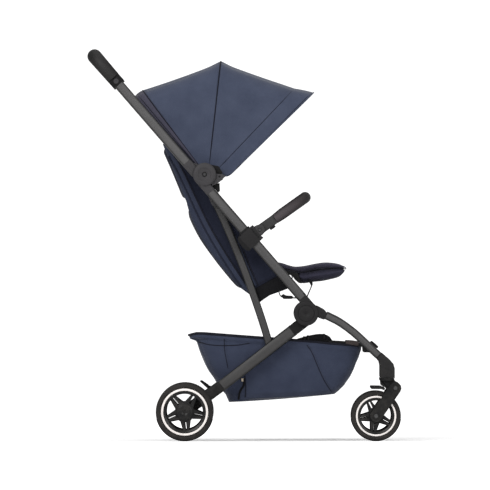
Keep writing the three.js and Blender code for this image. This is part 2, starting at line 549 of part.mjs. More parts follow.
// ---- Canopy --------------------------------------------------------------------------------
// Each bow is an arch from its foot near the pivot to its top, across the stroller.
const BOWS = {
  rear: { foot: [-112, 760], top: [-288, 938] },
  middle: { foot: [-80, 754], top: [-65, 1024] },
  front: { foot: [-22, 750], top: [147, 950] },
  visor: { foot: [-8, 752], top: [184, 941] },
};
const blendBow = (a, b, share) => ({
  foot: between(BOWS[a].foot, BOWS[b].foot, share), top: between(BOWS[a].top, BOWS[b].top, share),
});

// Points across an arch, this far inside the outer skin.
function arch({ foot, top }, inset) {
  const height = span(foot, top);
  const half = CANOPY_HALF - inset;
  const corner = CANOPY_CORNER;
  const profile = [[0, half], [height - corner - 60, half], [height - corner - inset, half]];
  for (const turn of [22.5, 45, 67.5, 90]) {
    const angle = THREE.MathUtils.degToRad(turn);
    profile.push([height - inset - corner * (1 - Math.sin(angle)) - 6 * Math.cos(angle),
      half - corner * (1 - Math.cos(angle))]);
  }
  profile.push([height - inset, half * 0.35]);
  const whole = [...profile, ...profile.slice().reverse().map(([along, y]) => [along, -y])];
  return whole.map(([along, y]) => {
    const [x, z] = between(foot, top, along / height);
    return [x, y, z];
  });
}

function canopyPanel(bows) {
  return skin(bows.map((bow) => arch(bow, 0)), bows.map((bow) => arch(bow, CANOPY_SKIN)));
}

add('canopy_rear_panel', canopyPanel([0, 0.33, 0.66, 0.99].map((share) => blendBow('rear', 'middle', share))),
  NAVY, 0.9);
add('canopy_front_panel', canopyPanel([0.01, 0.34, 0.67, 0.99].map(
  (share) => blendBow('middle', 'front', share))), NAVY, 0.9);
add('canopy_visor', canopyPanel([0.03, 0.5, 1].map((share) => blendBow('front', 'visor', share))), NAVY, 0.9);

// The bow inside the skin, with a flat hub on the canopy pin at each end.
const BOW_RADIUS = 1.6;
const BOW_GAP = 3;              // bow to the canopy over it
const HUB_GAP = 0.5;
const HUB_SPARE = 2;            // width beside the hubs
const BOW_STEP = 13.1;          // longest step of a bow across the canopy
function bow(name, shape, hubLow, hubHigh) {
  const inset = CANOPY_SKIN + BOW_RADIUS + BOW_GAP;
  const hubMiddle = (hubLow + hubHigh) / 2;
  const run = arch(shape, inset).map(([x, y, z]) => new THREE.Vector3(x, y, z));
  const near = between(CANOPY_PIVOT, shape.foot, 0.85);
  const ends = (side) => [CANOPY_PIVOT, near].map(([x, z]) => new THREE.Vector3(x, side * hubMiddle, z));
  const path = [...ends(1), ...run, ...ends(-1).reverse()];
  const hubs = [[hubLow, hubHigh], [-hubHigh, -hubLow]].map(
    ([low, high]) => disc(CANOPY_PIVOT, CANOPY_HUB, low, high));
  const bores = disc(CANOPY_PIVOT, CANOPY_PIN + FIT, -FRAME_INNER, FRAME_INNER);
  add(name, cut(join(sweep(path, roundSection(BOW_RADIUS, 5), Math.ceil(2 * CANOPY_HALF / BOW_STEP)), ...hubs), bores), BLACK, 0.5);
}
const hubStep = (STRUT_DEPTH - HUB_SPARE) / 3;
const hubTop = STRUT_OUTER - HUB_GAP;
bow('canopy_bow_rear', blendBow('rear', 'middle', 0.03), hubTop - hubStep + HUB_GAP, hubTop);
bow('canopy_bow_middle', blendBow('middle', 'front', 0.05), hubTop - 2 * hubStep + HUB_GAP, hubTop - hubStep);
bow('canopy_bow_front', blendBow('front', 'visor', 0.1), hubTop - 3 * hubStep + HUB_GAP, hubTop - 2 * hubStep);

// ---- Basket --------------------------------------------------------------------------------
const BASKET_RINGS = [
  { rear: [-150, 284], front: [315, 253], half: SOFT_HALF, corner: 26 },
  { rear: [-132, 266], front: [308, 222], half: SOFT_HALF - 2, corner: 28 },
  { rear: [-95, 190], front: [282, 174], half: SOFT_HALF - 7, corner: 34 },
  { rear: [-58, 134], front: [259, 140], half: SOFT_HALF - 13, corner: 38 },
  { rear: [-35, 107], front: [240, 126], half: SOFT_HALF - 22, corner: 40 },
];
// One ring of points round the basket; inset moves it inwards.
function basketRing({ rear, front, half, corner }, inset) {
  const [x0, x1] = [rear[0] + inset, front[0] - inset];
  const width = half - inset;
  const points = [];
  for (const [sx, sy, start] of [[1, 1, 0], [-1, 1, 0.5], [-1, -1, 1], [1, -1, 1.5]]) {
    for (const step of [0, 1 / 3, 2 / 3, 1]) {
      const angle = (start + step / 2) * Math.PI;
      const centreX = sx > 0 ? x1 - corner : x0 + corner;
      const x = centreX + corner * Math.cos(angle);
      const share = (x - rear[0]) / (front[0] - rear[0]);
      points.push([x, sy * (width - corner) + corner * Math.sin(angle),
        rear[1] + (front[1] - rear[1]) * share]);
    }
  }
  return points;
}
const lifted = (ring, rise) => ring.map(([x, y, z]) => [x, y, z + rise]);
add('basket', skin(BASKET_RINGS.map((ring) => basketRing(ring, 0)),
  BASKET_RINGS.map((ring, i) => lifted(basketRing(ring, BASKET_SKIN),
    i === BASKET_RINGS.length - 1 ? BASKET_SKIN : 0)), true), DARK_NAVY, 0.9);

export default stroller;
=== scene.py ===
import json
import math

import bmesh
import bpy
import numpy as np
from mathutils import Matrix, Vector, noise
from mathutils.bvhtree import BVHTree

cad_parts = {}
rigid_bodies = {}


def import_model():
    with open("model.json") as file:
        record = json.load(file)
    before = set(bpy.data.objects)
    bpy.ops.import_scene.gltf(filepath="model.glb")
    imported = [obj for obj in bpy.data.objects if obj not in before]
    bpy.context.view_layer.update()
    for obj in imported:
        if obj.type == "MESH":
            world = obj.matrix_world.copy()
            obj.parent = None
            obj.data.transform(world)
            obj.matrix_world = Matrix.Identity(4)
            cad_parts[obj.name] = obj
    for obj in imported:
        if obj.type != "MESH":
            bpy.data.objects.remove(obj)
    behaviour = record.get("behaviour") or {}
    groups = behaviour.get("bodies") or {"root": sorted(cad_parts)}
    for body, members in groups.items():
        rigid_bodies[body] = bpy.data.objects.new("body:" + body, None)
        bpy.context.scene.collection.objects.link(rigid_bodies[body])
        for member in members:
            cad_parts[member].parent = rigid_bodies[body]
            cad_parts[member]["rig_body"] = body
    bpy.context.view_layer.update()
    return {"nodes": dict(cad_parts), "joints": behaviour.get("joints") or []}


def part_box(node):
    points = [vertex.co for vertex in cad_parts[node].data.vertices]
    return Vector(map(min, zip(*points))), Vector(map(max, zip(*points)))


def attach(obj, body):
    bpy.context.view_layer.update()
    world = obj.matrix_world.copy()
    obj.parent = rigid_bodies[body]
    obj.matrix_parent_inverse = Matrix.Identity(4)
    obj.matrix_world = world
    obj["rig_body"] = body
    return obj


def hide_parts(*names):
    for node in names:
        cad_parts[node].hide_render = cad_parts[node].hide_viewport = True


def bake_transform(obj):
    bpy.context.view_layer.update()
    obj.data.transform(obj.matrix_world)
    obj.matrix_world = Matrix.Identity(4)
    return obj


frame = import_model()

MM = 0.001
SIDES = {"left": 1, "right": -1}
JOINT = {joint["name"]: joint for joint in frame["joints"]}


def pivot(joint):
    """The place of a joint's axis, in metres."""
    return Vector(JOINT[joint]["pos_m"])


# The pivots carry the whole side view, so shapes are placed from them.
MAIN = pivot("rear_leg_fold")
UPPER = pivot("push_bar_fold")
CANOPY = pivot("canopy_fold")
BUMPER = pivot("bumper_turn")
FORK = pivot("suspension_left")
FRONT_AXLE = pivot("front_wheel_spin_left")
FRAME_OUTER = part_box("frame_tube_left")[1].y
SOFT_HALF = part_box("basket")[1].y


def mm(x, z):
    """A side-view place in millimetres, as metres (x, z)."""
    return (x * MM, z * MM)


# ---- Materials --------------------------------------------------------------------------
class Nodes:
    """A small helper round one node tree."""

    def __init__(self, tree):
        self.tree = tree

    def add(self, kind, **values):
        node = self.tree.nodes.new(kind)
        for key, value in values.items():
            if hasattr(node, key):
                setattr(node, key, value)
            else:
                node.inputs[key.replace("_", " ")].default_value = value
        return node

    def join(self, start, end):
        self.tree.links.new(start, end)

    def math(self, operation, a, b=None, clamp=False):
        node = self.tree.nodes.new("ShaderNodeMath")
        node.operation = operation
        node.use_clamp = clamp
        for socket, value in zip(node.inputs, (a, b)):
            if value is None:
                continue
            if isinstance(value, (int, float)):
                socket.default_value = value
            else:
                self.join(value, socket)
        return node.outputs[0]

    def mix(self, factor, a, b):
        node = self.tree.nodes.new("ShaderNodeMix")
        node.data_type = "RGBA"
        for socket, value in zip((node.inputs[0], node.inputs[6], node.inputs[7]), (factor, a, b)):
            if isinstance(value, (int, float)):
                socket.default_value = value
            elif isinstance(value, tuple):
                socket.default_value = (*value, 1.0)
            else:
                self.join(value, socket)
        return node.outputs[2]

    def ramp(self, value, low, high, dark=0.0, bright=1.0):
        node = self.tree.nodes.new("ShaderNodeMapRange")
        self.join(value, node.inputs["Value"])
        node.inputs["From Min"].default_value = low
        node.inputs["From Max"].default_value = high
        node.inputs["To Min"].default_value = dark
        node.inputs["To Max"].default_value = bright
        return node.outputs["Result"]

    def noise(self, vector, scale, detail=3.0, roughness=0.5):
        node = self.add("ShaderNodeTexNoise")
        node.inputs["Scale"].default_value = scale
        node.inputs["Detail"].default_value = detail
        node.inputs["Roughness"].default_value = roughness
        self.join(vector, node.inputs["Vector"])
        return node.outputs["Fac"]


def shader_group(name, inputs, outputs):
    """An empty shader node group with named sockets: (helper, inputs, outputs)."""
    tree = bpy.data.node_groups.new(name, "ShaderNodeTree")
    for label, kind, value in inputs:
        socket = tree.interface.new_socket(name=label, in_out="INPUT", socket_type=kind)
        if value is not None:
            socket.default_value = value
    for label, kind in outputs:
        tree.interface.new_socket(name=label, in_out="OUTPUT", socket_type=kind)
    helper = Nodes(tree)
    entry = helper.add("NodeGroupInput")
    leave = helper.add("NodeGroupOutput")
    return helper, entry.outputs, leave.inputs


FLOAT, VECTOR, COLOUR = "NodeSocketFloat", "NodeSocketVector", "NodeSocketColor"


def weave_group():
    """Diagonal twill threads with slubs: a height and a light-and-dark value."""
    n, put, out = shader_group(
        "twill_weave", [("Vector", VECTOR, None), ("Threads", FLOAT, 1400.0)],
        [("Height", FLOAT), ("Shade", FLOAT)])
    split = n.add("ShaderNodeSeparateXYZ")
    n.join(put["Vector"], split.inputs[0])
    x, y, z = split.outputs
    across = n.math("ADD", x, n.math("MULTIPLY", y, 0.7))
    diagonal = n.math("SINE", n.math("MULTIPLY", n.math("ADD", across, z), put["Threads"]))
    cross = n.math("SINE", n.math("MULTIPLY", n.math("SUBTRACT", z, across), put["Threads"]))
    threads = n.math("ADD", n.math("MULTIPLY", diagonal, 0.35), n.math("MULTIPLY", cross, 0.2))
    slub = n.noise(put["Vector"], 900.0, 2.0)
    patch = n.noise(put["Vector"], 22.0, 4.0)
    n.join(n.math("ADD", threads, slub), out["Height"])
    mixed = n.math("ADD", n.math("MULTIPLY", slub, 0.45), n.math("MULTIPLY", patch, 0.4))
    n.join(n.math("ADD", mixed, n.math("MULTIPLY", threads, 0.12)), out["Shade"])
    return n.tree


def wear_group():
    """Rubbed patches and fine scratches: a mask."""
    n, put, out = shader_group(
        "handling_wear", [("Vector", VECTOR, None), ("Amount", FLOAT, 0.3)], [("Mask", FLOAT)])
    broad = n.ramp(n.noise(put["Vector"], 14.0, 5.0, 0.6), 0.52, 0.75)
    fine = n.ramp(n.noise(put["Vector"], 260.0, 3.0, 0.7), 0.55, 0.7)
    n.join(n.math("MULTIPLY", n.math("MULTIPLY", broad, fine), put["Amount"]), out["Mask"])
    return n.tree


def grain_group():
    """Moulded or blasted grain: a fine height and a slow variation."""
    n, put, out = shader_group(
        "moulded_grain", [("Vector", VECTOR, None), ("Scale", FLOAT, 900.0)],
        [("Height", FLOAT), ("Variation", FLOAT)])
    node = n.add("ShaderNodeTexVoronoi")
    n.join(put["Vector"], node.inputs["Vector"])
    n.join(put["Scale"], node.inputs["Scale"])
    fine = n.noise(put["Vector"], 1500.0, 2.0)
    n.join(n.math("ADD", node.outputs["Distance"], n.math("MULTIPLY", fine, 0.5)), out["Height"])
    n.join(n.noise(put["Vector"], 9.0, 4.0), out["Variation"])
    return n.tree


def dust_group():
    """Road dust that thins out with height above the floor."""
    n, put, out = shader_group(
        "road_dust", [("Vector", VECTOR, None), ("Top", FLOAT, 0.3)], [("Mask", FLOAT)])
    split = n.add("ShaderNodeSeparateXYZ")
    n.join(put["Vector"], split.inputs[0])
    height = n.math("DIVIDE", split.outputs[2], put["Top"])
    fade = n.math("SUBTRACT", 1.0, height, clamp=True)
    cloud = n.ramp(n.noise(put["Vector"], 35.0, 6.0, 0.65), 0.4, 0.8)
    n.join(n.math("MULTIPLY", n.math("MULTIPLY", fade, cloud), 0.35), out["Mask"])
    return n.tree


WEAVE = weave_group()
WEAR = wear_group()
GRAIN = grain_group()
DUST = dust_group()


def new_material(name, roughness, metallic=0.0):
    material = bpy.data.materials.new(name)
    material.use_nodes = True
    n = Nodes(material.node_tree)
    surface = material.node_tree.nodes["Principled BSDF"]
    surface.inputs["Roughness"].default_value = roughness
    surface.inputs["Metallic"].default_value = metallic
    place = n.add("ShaderNodeTexCoord").outputs["Object"]
    return material, n, surface, place


def use_group(n, tree, place, **values):
    node = n.add("ShaderNodeGroup")
    node.node_tree = tree
    n.join(place, node.inputs["Vector"])
    for key, value in values.items():
        node.inputs[key].default_value = value
    return node.outputs


def bump(n, surface, height, strength, distance):
    node = n.add("ShaderNodeBump")
    node.inputs["Strength"].default_value = strength
    node.inputs["Distance"].default_value = distance
    n.join(height, node.inputs["Height"])
    n.join(node.outputs[0], surface.inputs["Normal"])


def hard_finish(name, base, light, roughness, metallic=0.0, scale=900.0, depth=0.00006, wear=0.3,
                coat=0.0, paint_edge_shade=False, shine=0.09):
    """Painted, anodised or moulded surface with grain, handling wear and a little road dust, and on request
    painted shade darkening its turned edges.
    """
    material, n, surface, place = new_material(name, roughness, metallic)
    grain = use_group(n, GRAIN, place, Scale=scale)
    worn = use_group(n, WEAR, place, Amount=wear)
    dust = use_group(n, DUST, place)
    tone = n.mix(n.ramp(grain["Variation"], 0.3, 0.7), base, light)
    if paint_edge_shade:
        # Painted shade: the turned edges are darkened by which way they face, standing in for the shade and
        # dark reflections they take.
        tone = n.mix(painted_edge_shade_mask(n), tuple(c * 0.28 for c in base), tone)
    tone = n.mix(worn["Mask"], tone, tuple(min(1.0, c * 1.8 + 0.01) for c in light))
    tone = n.mix(dust["Mask"], tone, (0.10, 0.092, 0.082))
    n.join(tone, surface.inputs["Base Color"])
    rough = n.ramp(grain["Variation"], 0.2, 0.8, roughness - 0.06, roughness + 0.08)
    n.join(n.math("ADD", rough, n.math("MULTIPLY", dust["Mask"], 0.5)), surface.inputs["Roughness"])
    bump(n, surface, grain["Height"], 0.35, depth)
    surface.inputs["Coat Weight"].default_value = coat
    surface.inputs["Coat Roughness"].default_value = 0.25
    surface.inputs["Specular IOR Level"].default_value = 0.5 if metallic else shine
    return material


def painted_edge_shade_mask(n, low=0.93, high=0.985):
    """One on the faces that look sideways, zero on the turned edges, where shade is painted into the colour.
    """
    split = n.add("ShaderNodeSeparateXYZ")
    n.join(n.add("ShaderNodeTexCoord").outputs["Normal"], split.inputs[0])
    return n.ramp(n.math("ABSOLUTE", split.outputs[1]), low, high)


def cloth(name, base, light, threads=1500.0, sheen=0.25, depth=0.00018):
    """Woven fabric: twill threads, slubs, soft sheen."""
    material, n, surface, place = new_material(name, 0.86)
    weave = use_group(n, WEAVE, place, Threads=threads)
    tone = n.mix(n.ramp(weave["Shade"], 0.22, 0.62), base, light)
    n.join(tone, surface.inputs["Base Color"])
    n.join(n.ramp(weave["Shade"], 0.2, 0.7, 0.92, 0.78), surface.inputs["Roughness"])
    bump(n, surface, weave["Height"], 0.5, depth)
    surface.inputs["Sheen Weight"].default_value = sheen * 0.4
    surface.inputs["Sheen Roughness"].default_value = 0.45
    surface.inputs["Specular IOR Level"].default_value = 0.10
    return material


def leather(name, base, light):
    """Soft imitation leather with a pebbled grain and painted shade darkening its turned edges."""
    material, n, surface, place = new_material(name, 0.55)
    grain = use_group(n, GRAIN, place, Scale=650.0)
    worn = use_group(n, WEAR, place, Amount=0.35)
    tone = n.mix(n.ramp(grain["Variation"], 0.3, 0.7), base, light)
    tone = n.mix(worn["Mask"], tone, tuple(c * 1.8 for c in light))
    # Painted shade: edges that turn away from the side are darkened in the colour.
    tone = n.mix(painted_edge_shade_mask(n, 0.35, 1.0), tuple(c * 0.32 for c in base), tone)
    n.join(tone, surface.inputs["Base Color"])
    n.join(n.ramp(grain["Height"], 0.2, 1.0, 0.5, 0.66), surface.inputs["Roughness"])
    bump(n, surface, grain["Height"], 0.4, 0.00012)
    surface.inputs["Specular IOR Level"].default_value = 0.20
    return material


def rubber(name):
    """Tyre rubber: dull, with a fine moulded grain and dust."""
    material, n, surface, place = new_material(name, 0.8)
    grain = use_group(n, GRAIN, place, Scale=1100.0)
    dust = use_group(n, DUST, place, Top=0.2)
    tone = n.mix(n.ramp(grain["Variation"], 0.3, 0.7), (0.0125, 0.0115, 0.0112), (0.0215, 0.0195, 0.0185))
    tone = n.mix(dust["Mask"], tone, (0.075, 0.068, 0.060))
    n.join(tone, surface.inputs["Base Color"])
    n.join(n.ramp(grain["Height"], 0.1, 0.9, 0.72, 0.9), surface.inputs["Roughness"])
    bump(n, surface, grain["Height"], 0.5, 0.0002)
    surface.inputs["Specular IOR Level"].default_value = 0.2
    return material


def anodised(name, share):
    """Blasted and anodised aluminium tube with painted shade on its turned edges; share sets how light it is.
    """
    return hard_finish(name, tuple(share * c for c in (0.072, 0.070, 0.071)),
                       tuple(share * c for c in (0.084, 0.082, 0.083)), 0.46, 0.35, 1400.0, 0.00002, 0.04,
                       paint_edge_shade=True)


ANTHRACITE = anodised("anthracite_tube", 0.90)
MID_ANTHRACITE = anodised("anthracite_frame", 0.68)
DEEP_ANTHRACITE = anodised("anthracite_leg", 0.42)
HINGE = hard_finish("hinge_plastic", (0.037, 0.0355, 0.038), (0.045, 0.0435, 0.046), 0.5, 0.0, 800.0)
BLACK = hard_finish("black_plastic", (0.0062, 0.0062, 0.0066), (0.0105, 0.0104, 0.0108), 0.5, 0.0, 800.0,
                    0.00006, 0.15)
DARK_HINGE = hard_finish("dark_hinge_plastic", (0.0135, 0.0130, 0.0135), (0.0175, 0.0170, 0.0175), 0.5,
                         0.0, 800.0)
GREY = hard_finish("grey_plastic", (0.030, 0.0295, 0.030), (0.038, 0.0375, 0.038), 0.5, 0.0, 900.0)
RIM = hard_finish("rim_gloss", (0.0045, 0.0045, 0.005), (0.008, 0.008, 0.0085), 0.36, 0.0, 600.0, 0.00003,
                  0.1, 0.15)
STRIPE = hard_finish("pale_stripe", (0.74, 0.69, 0.66), (0.82, 0.78, 0.75), 0.5, 0.0, 700.0, 0.00004, 0.1)
STEEL = hard_finish("screw_steel", (0.05, 0.05, 0.052), (0.09, 0.09, 0.092), 0.35, 0.9, 1200.0)
TYRE = rubber("tyre_rubber")
LEATHER = leather("grip_leather", (0.036, 0.0300, 0.0325), (0.056, 0.048, 0.052))
HANDLE_LEATHER = leather("handle_leather", (0.0125, 0.0120, 0.0120), (0.0220, 0.0212, 0.0212))
CANOPY_CLOTH = cloth("canopy_cloth", (0.030, 0.037, 0.062), (0.052, 0.062, 0.096))
BASKET_CLOTH = cloth("basket_cloth", (0.0210, 0.0258, 0.0460), (0.038, 0.046, 0.074))
SEAT_CLOTH = cloth("seat_cloth", (0.0070, 0.0085, 0.0165), (0.0145, 0.0170, 0.0300), 1500.0, 0.12)
LINER_CLOTH = cloth("liner_cloth", (0.0160, 0.0195, 0.0350), (0.0300, 0.0360, 0.0580), 1100.0, 0.12)
LEGREST_CLOTH = cloth("legrest_cloth", (0.0170, 0.0165, 0.0285), (0.0300, 0.0290, 0.0465), 1500.0, 0.12)
CUSHION_CLOTH = cloth("cushion_cloth", (0.0205, 0.0192, 0.0315), (0.0340, 0.0320, 0.0490), 1200.0, 0.12)
MAUVE_CLOTH = cloth("mauve_cloth", (0.034, 0.033, 0.050), (0.055, 0.053, 0.074), 1500.0, 0.2)
PIPING = cloth("piping_cloth", (0.0060, 0.0065, 0.0110), (0.0120, 0.0125, 0.0190), 2200.0, 0.05)
TAUPE = cloth("taupe_piping", (0.040, 0.032, 0.032), (0.066, 0.054, 0.052), 2200.0, 0.1)
WEBBING = cloth("webbing", (0.0035, 0.0035, 0.0042), (0.0085, 0.0085, 0.0098), 2600.0, 0.05, 0.00035)
THREAD = cloth("thread", (0.020, 0.024, 0.040), (0.036, 0.042, 0.064), 3000.0, 0.1)
TAG = cloth("beige_tag", (0.36, 0.30, 0.23), (0.46, 0.39, 0.31), 2400.0, 0.1)


def link(name, mesh, material):
    """A finished mesh as an object at the origin, with its material."""
    obj = bpy.data.objects.new(name, mesh)
    bpy.context.scene.collection.objects.link(obj)
    mesh.materials.clear()
    mesh.materials.append(material)
    return obj


def mesh_from(verts, faces, smooth=True):
    mesh = bpy.data.meshes.new("made")
    mesh.from_pydata([tuple(v) for v in verts], [], faces)
    mesh.validate()
    bm = bmesh.new()
    bm.from_mesh(mesh)
    bmesh.ops.remove_doubles(bm, verts=bm.verts, dist=1e-6)
    bmesh.ops.recalc_face_normals(bm, faces=bm.faces)
    bm.to_mesh(mesh)
    bm.free()
    mesh.shade_smooth() if smooth else mesh.shade_flat()
    return mesh


def apply_modifiers(obj):
    """Bakes the live modifiers into the object's own mesh."""
    bpy.context.view_layer.update()
    shape = obj.evaluated_get(bpy.context.evaluated_depsgraph_get())
    mesh = bpy.data.meshes.new_from_object(shape)
    obj.modifiers.clear()
    obj.data = mesh
    return obj


def soften(obj, width, segments=3, angle=28.0):
    """Rounds the sharp edges and smooths the rest."""
    bevel = obj.modifiers.new("bevel", "BEVEL")
    bevel.width = width
    bevel.segments = segments
    bevel.limit_method = "ANGLE"
    bevel.angle_limit = math.radians(angle)
    bevel.use_clamp_overlap = True
    bevel.harden_normals = False
    apply_modifiers(obj)
    obj.data.shade_smooth()
    obj.data.set_sharp_from_angle(angle=math.radians(35.0))
    return obj


def refined(node, material, bevel=0.0010, segments=3):
    """A softened copy of a CAD node, which it stands for."""
    source = frame["nodes"][node]
    mesh = source.data.copy()
    bm = bmesh.new()
    bm.from_mesh(mesh)
    bmesh.ops.remove_doubles(bm, verts=bm.verts, dist=2e-5)
    bmesh.ops.dissolve_limit(bm, angle_limit=math.radians(1.5), verts=bm.verts, edges=bm.edges)
    bm.to_mesh(mesh)
    bm.free()
    piece = link(node + "_skin", mesh, material)
    soften(piece, bevel, segments)
    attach(piece, source["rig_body"])
    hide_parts(node)
    return piece


def lathe(profile, centre, steps=96, closed=True):
    """A mesh turned round the Y axis: profile points are (radius, y)."""
    verts, faces = [], []
    count = len(profile)
    for k in range(steps):
        turn = 2 * math.pi * k / steps
        for radius, y in profile:
            verts.append((centre[0] + radius * math.cos(turn), y, centre[1] + radius * math.sin(turn)))
    for k in range(steps):
        a, b = k * count, ((k + 1) % steps) * count
        for i in range(count if closed else count - 1):
            j = (i + 1) % count
            faces.append((a + i, a + j, b + j, b + i))
    return mesh_from(verts, faces)


def smooth_path(points, count):
    """Points along a Catmull-Rom curve through the given ones, evenly spaced."""
    points = [Vector(p) for p in points]
    padded = [points[0] * 2 - points[1], *points, points[-1] * 2 - points[-2]]
    dense = []
    for i in range(1, len(padded) - 2):
        p0, p1, p2, p3 = padded[i - 1:i + 3]
        for step in range(24):
            t = step / 24
            dense.append(0.5 * (2 * p1 + (p2 - p0) * t + (2 * p0 - 5 * p1 + 4 * p2 - p3) * t * t
                                + (3 * p1 - p0 - 3 * p2 + p3) * t ** 3))
    dense.append(points[-1])
    lengths = [0.0]
    for a, b in zip(dense, dense[1:]):
        lengths.append(lengths[-1] + (b - a).length)
    even, at = [], 0
    for k in range(count):
        want = lengths[-1] * k / (count - 1)
        while at < len(dense) - 2 and lengths[at + 1] < want:
            at += 1
        gap = lengths[at + 1] - lengths[at]
        even.append(dense[at].lerp(dense[at + 1], (want - lengths[at]) / gap if gap else 0.0))
    return even


def sweep(path, section, scale=None, side=None, caps=True, closed=False):
    """A section of (across, up) points carried along a path."""
    count = len(path)
    normal = Vector(side or (0, 1, 0))
    verts, faces = [], []
    for i, p in enumerate(path):
        ahead = path[(i + 1) % count] if closed else path[min(i + 1, count - 1)]
        behind = path[i - 1] if closed or i else path[0]
        tangent = (ahead - behind).normalized()
        normal = (normal - tangent * normal.dot(tangent)).normalized()
        up = tangent.cross(normal)
        grow = scale(i / (count - 1)) if scale else 1.0
        verts += [p + normal * (u * grow) + up * (v * grow) for u, v in section]
    ring = len(section)
    for i in range(count if closed else count - 1):
        a, b = i * ring, ((i + 1) % count) * ring
        for j in range(ring):
            k = (j + 1) % ring
            faces.append((a + j, a + k, b + k, b + j))
    if caps and not closed:
        faces += [tuple(range(ring)), tuple(range((count - 1) * ring, count * ring))]
    return mesh_from(verts, faces)


def circle(radius, sides=16):
    return [(radius * math.cos(2 * math.pi * k / sides), radius * math.sin(2 * math.pi * k / sides))
            for k in range(sides)]


def rounded(width, height, corner, steps=4):
    """A rounded rectangle section."""
    points = []
    for sx, sy, start in ((1, 1, 0.0), (-1, 1, 0.5), (-1, -1, 1.0), (1, -1, 1.5)):
        for k in range(steps + 1):
            turn = (start + 0.5 * k / steps) * math.pi
            points.append((sx * (width / 2 - corner) + corner * math.cos(turn),
                           sy * (height / 2 - corner) + corner * math.sin(turn)))
    return points


def grid(rows):
    """The points of a sheet through rows of points, and its four-sided faces."""
    count = len(rows[0])
    faces = [(i * count + j, i * count + j + 1, (i + 1) * count + j + 1, (i + 1) * count + j)
             for i in range(len(rows) - 1) for j in range(count - 1)]
    return [p for row in rows for p in row], faces


def grid_mesh(rows):
    """A sheet through rows of points."""
    verts, faces = grid(rows)
    mesh = bpy.data.meshes.new("sheet")
    mesh.from_pydata([tuple(v) for v in verts], [], faces)
    mesh.shade_smooth()
    return mesh


def thicken(obj, thickness, offset=-1.0):
    solid = obj.modifiers.new("solid", "SOLIDIFY")
    solid.thickness = thickness
    solid.offset = offset
    apply_modifiers(obj)
    obj.data.shade_smooth()
    return obj


def prism(name, outline, low, high, material, edge=0.001, segments=3):
    """A side-view outline (millimetres) carried across the stroller, with softened edges."""
    ends = [[(x * MM, y, z * MM) for x, z in outline] for y in (low, high)]
    count = len(outline)
    faces = [tuple(range(count)), tuple(range(count, 2 * count))]
    faces += [(i, (i + 1) % count, count + (i + 1) % count, count + i) for i in range(count)]
    return soften(link(name, mesh_from(ends[0] + ends[1], faces, False), material), edge, segments)


def surface_of(rows):
    return BVHTree.FromPolygons(*grid(rows))


def area_of(obj):
    return sum(face.area for face in obj.data.polygons)


def run_length(points):
    return sum((b - a).length for a, b in zip(points, points[1:]))


def drawn_on(surface, points, side, lift, count=60):
    """A smooth side-view line (millimetres) laid on a surface from one side, lifted off it."""
    path = smooth_path([(x * MM, 0, z * MM) for x, z in points], count)
    laid = []
    for p in path:
        place, normal, _, _ = surface.ray_cast(Vector((p.x, side * 0.5, p.z)), Vector((0, -side, 0)))
        if place is not None:
            if normal.y * side < 0:
                normal = -normal
            laid.append(place + normal * lift)
    return laid


def ride(obj, body, *nodes):
    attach(obj, body)
    if nodes:
        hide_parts(*nodes)
    return obj


# ---- Geometry Nodes: stitches and screws --------------------------------------------------
def tree_with(name, sockets):
    tree = bpy.data.node_groups.new(name, "GeometryNodeTree")
    tree.interface.new_socket(name="Geometry", in_out="INPUT", socket_type="NodeSocketGeometry")
    ids = {}
    for label, kind in sockets:
        ids[label] = tree.interface.new_socket(name=label, in_out="INPUT", socket_type=kind).identifier
    tree.interface.new_socket(name="Geometry", in_out="OUTPUT", socket_type="NodeSocketGeometry")
    return tree, ids, tree.nodes.new("NodeGroupInput"), tree.nodes.new("NodeGroupOutput")


def stitch_tree():
    """Short threads laid end to end along a line of edges."""
    tree, ids, put, out = tree_with("stitch_run", [
        ("Pitch", "NodeSocketFloat"), ("Length", "NodeSocketFloat"), ("Radius", "NodeSocketFloat"),
        ("Material", "NodeSocketMaterial")])
    new, join = tree.nodes.new, tree.links.new
    curve = new("GeometryNodeMeshToCurve")
    even = new("GeometryNodeResampleCurve")
    even.mode = "LENGTH"
    tangent = new("GeometryNodeInputTangent")
    turn = new("FunctionNodeAlignRotationToVector")
    turn.axis = "Z"
    thread = new("GeometryNodeMeshCylinder")
    thread.inputs["Vertices"].default_value = 6
    place = new("GeometryNodeInstanceOnPoints")
    real = new("GeometryNodeRealizeInstances")
    paint = new("GeometryNodeSetMaterial")
    join(put.outputs["Geometry"], curve.inputs[0])
    join(curve.outputs[0], even.inputs["Curve"])
    join(put.outputs["Pitch"], even.inputs["Length"])
    join(put.outputs["Radius"], thread.inputs["Radius"])
    join(put.outputs["Length"], thread.inputs["Depth"])
    join(tangent.outputs[0], turn.inputs["Vector"])
    join(even.outputs[0], place.inputs["Points"])
    join(thread.outputs["Mesh"], place.inputs["Instance"])
    join(turn.outputs[0], place.inputs["Rotation"])
    join(place.outputs[0], real.inputs[0])
    join(real.outputs[0], paint.inputs["Geometry"])
    join(put.outputs["Material"], paint.inputs["Material"])
    join(paint.outputs[0], out.inputs[0])
    return tree, ids


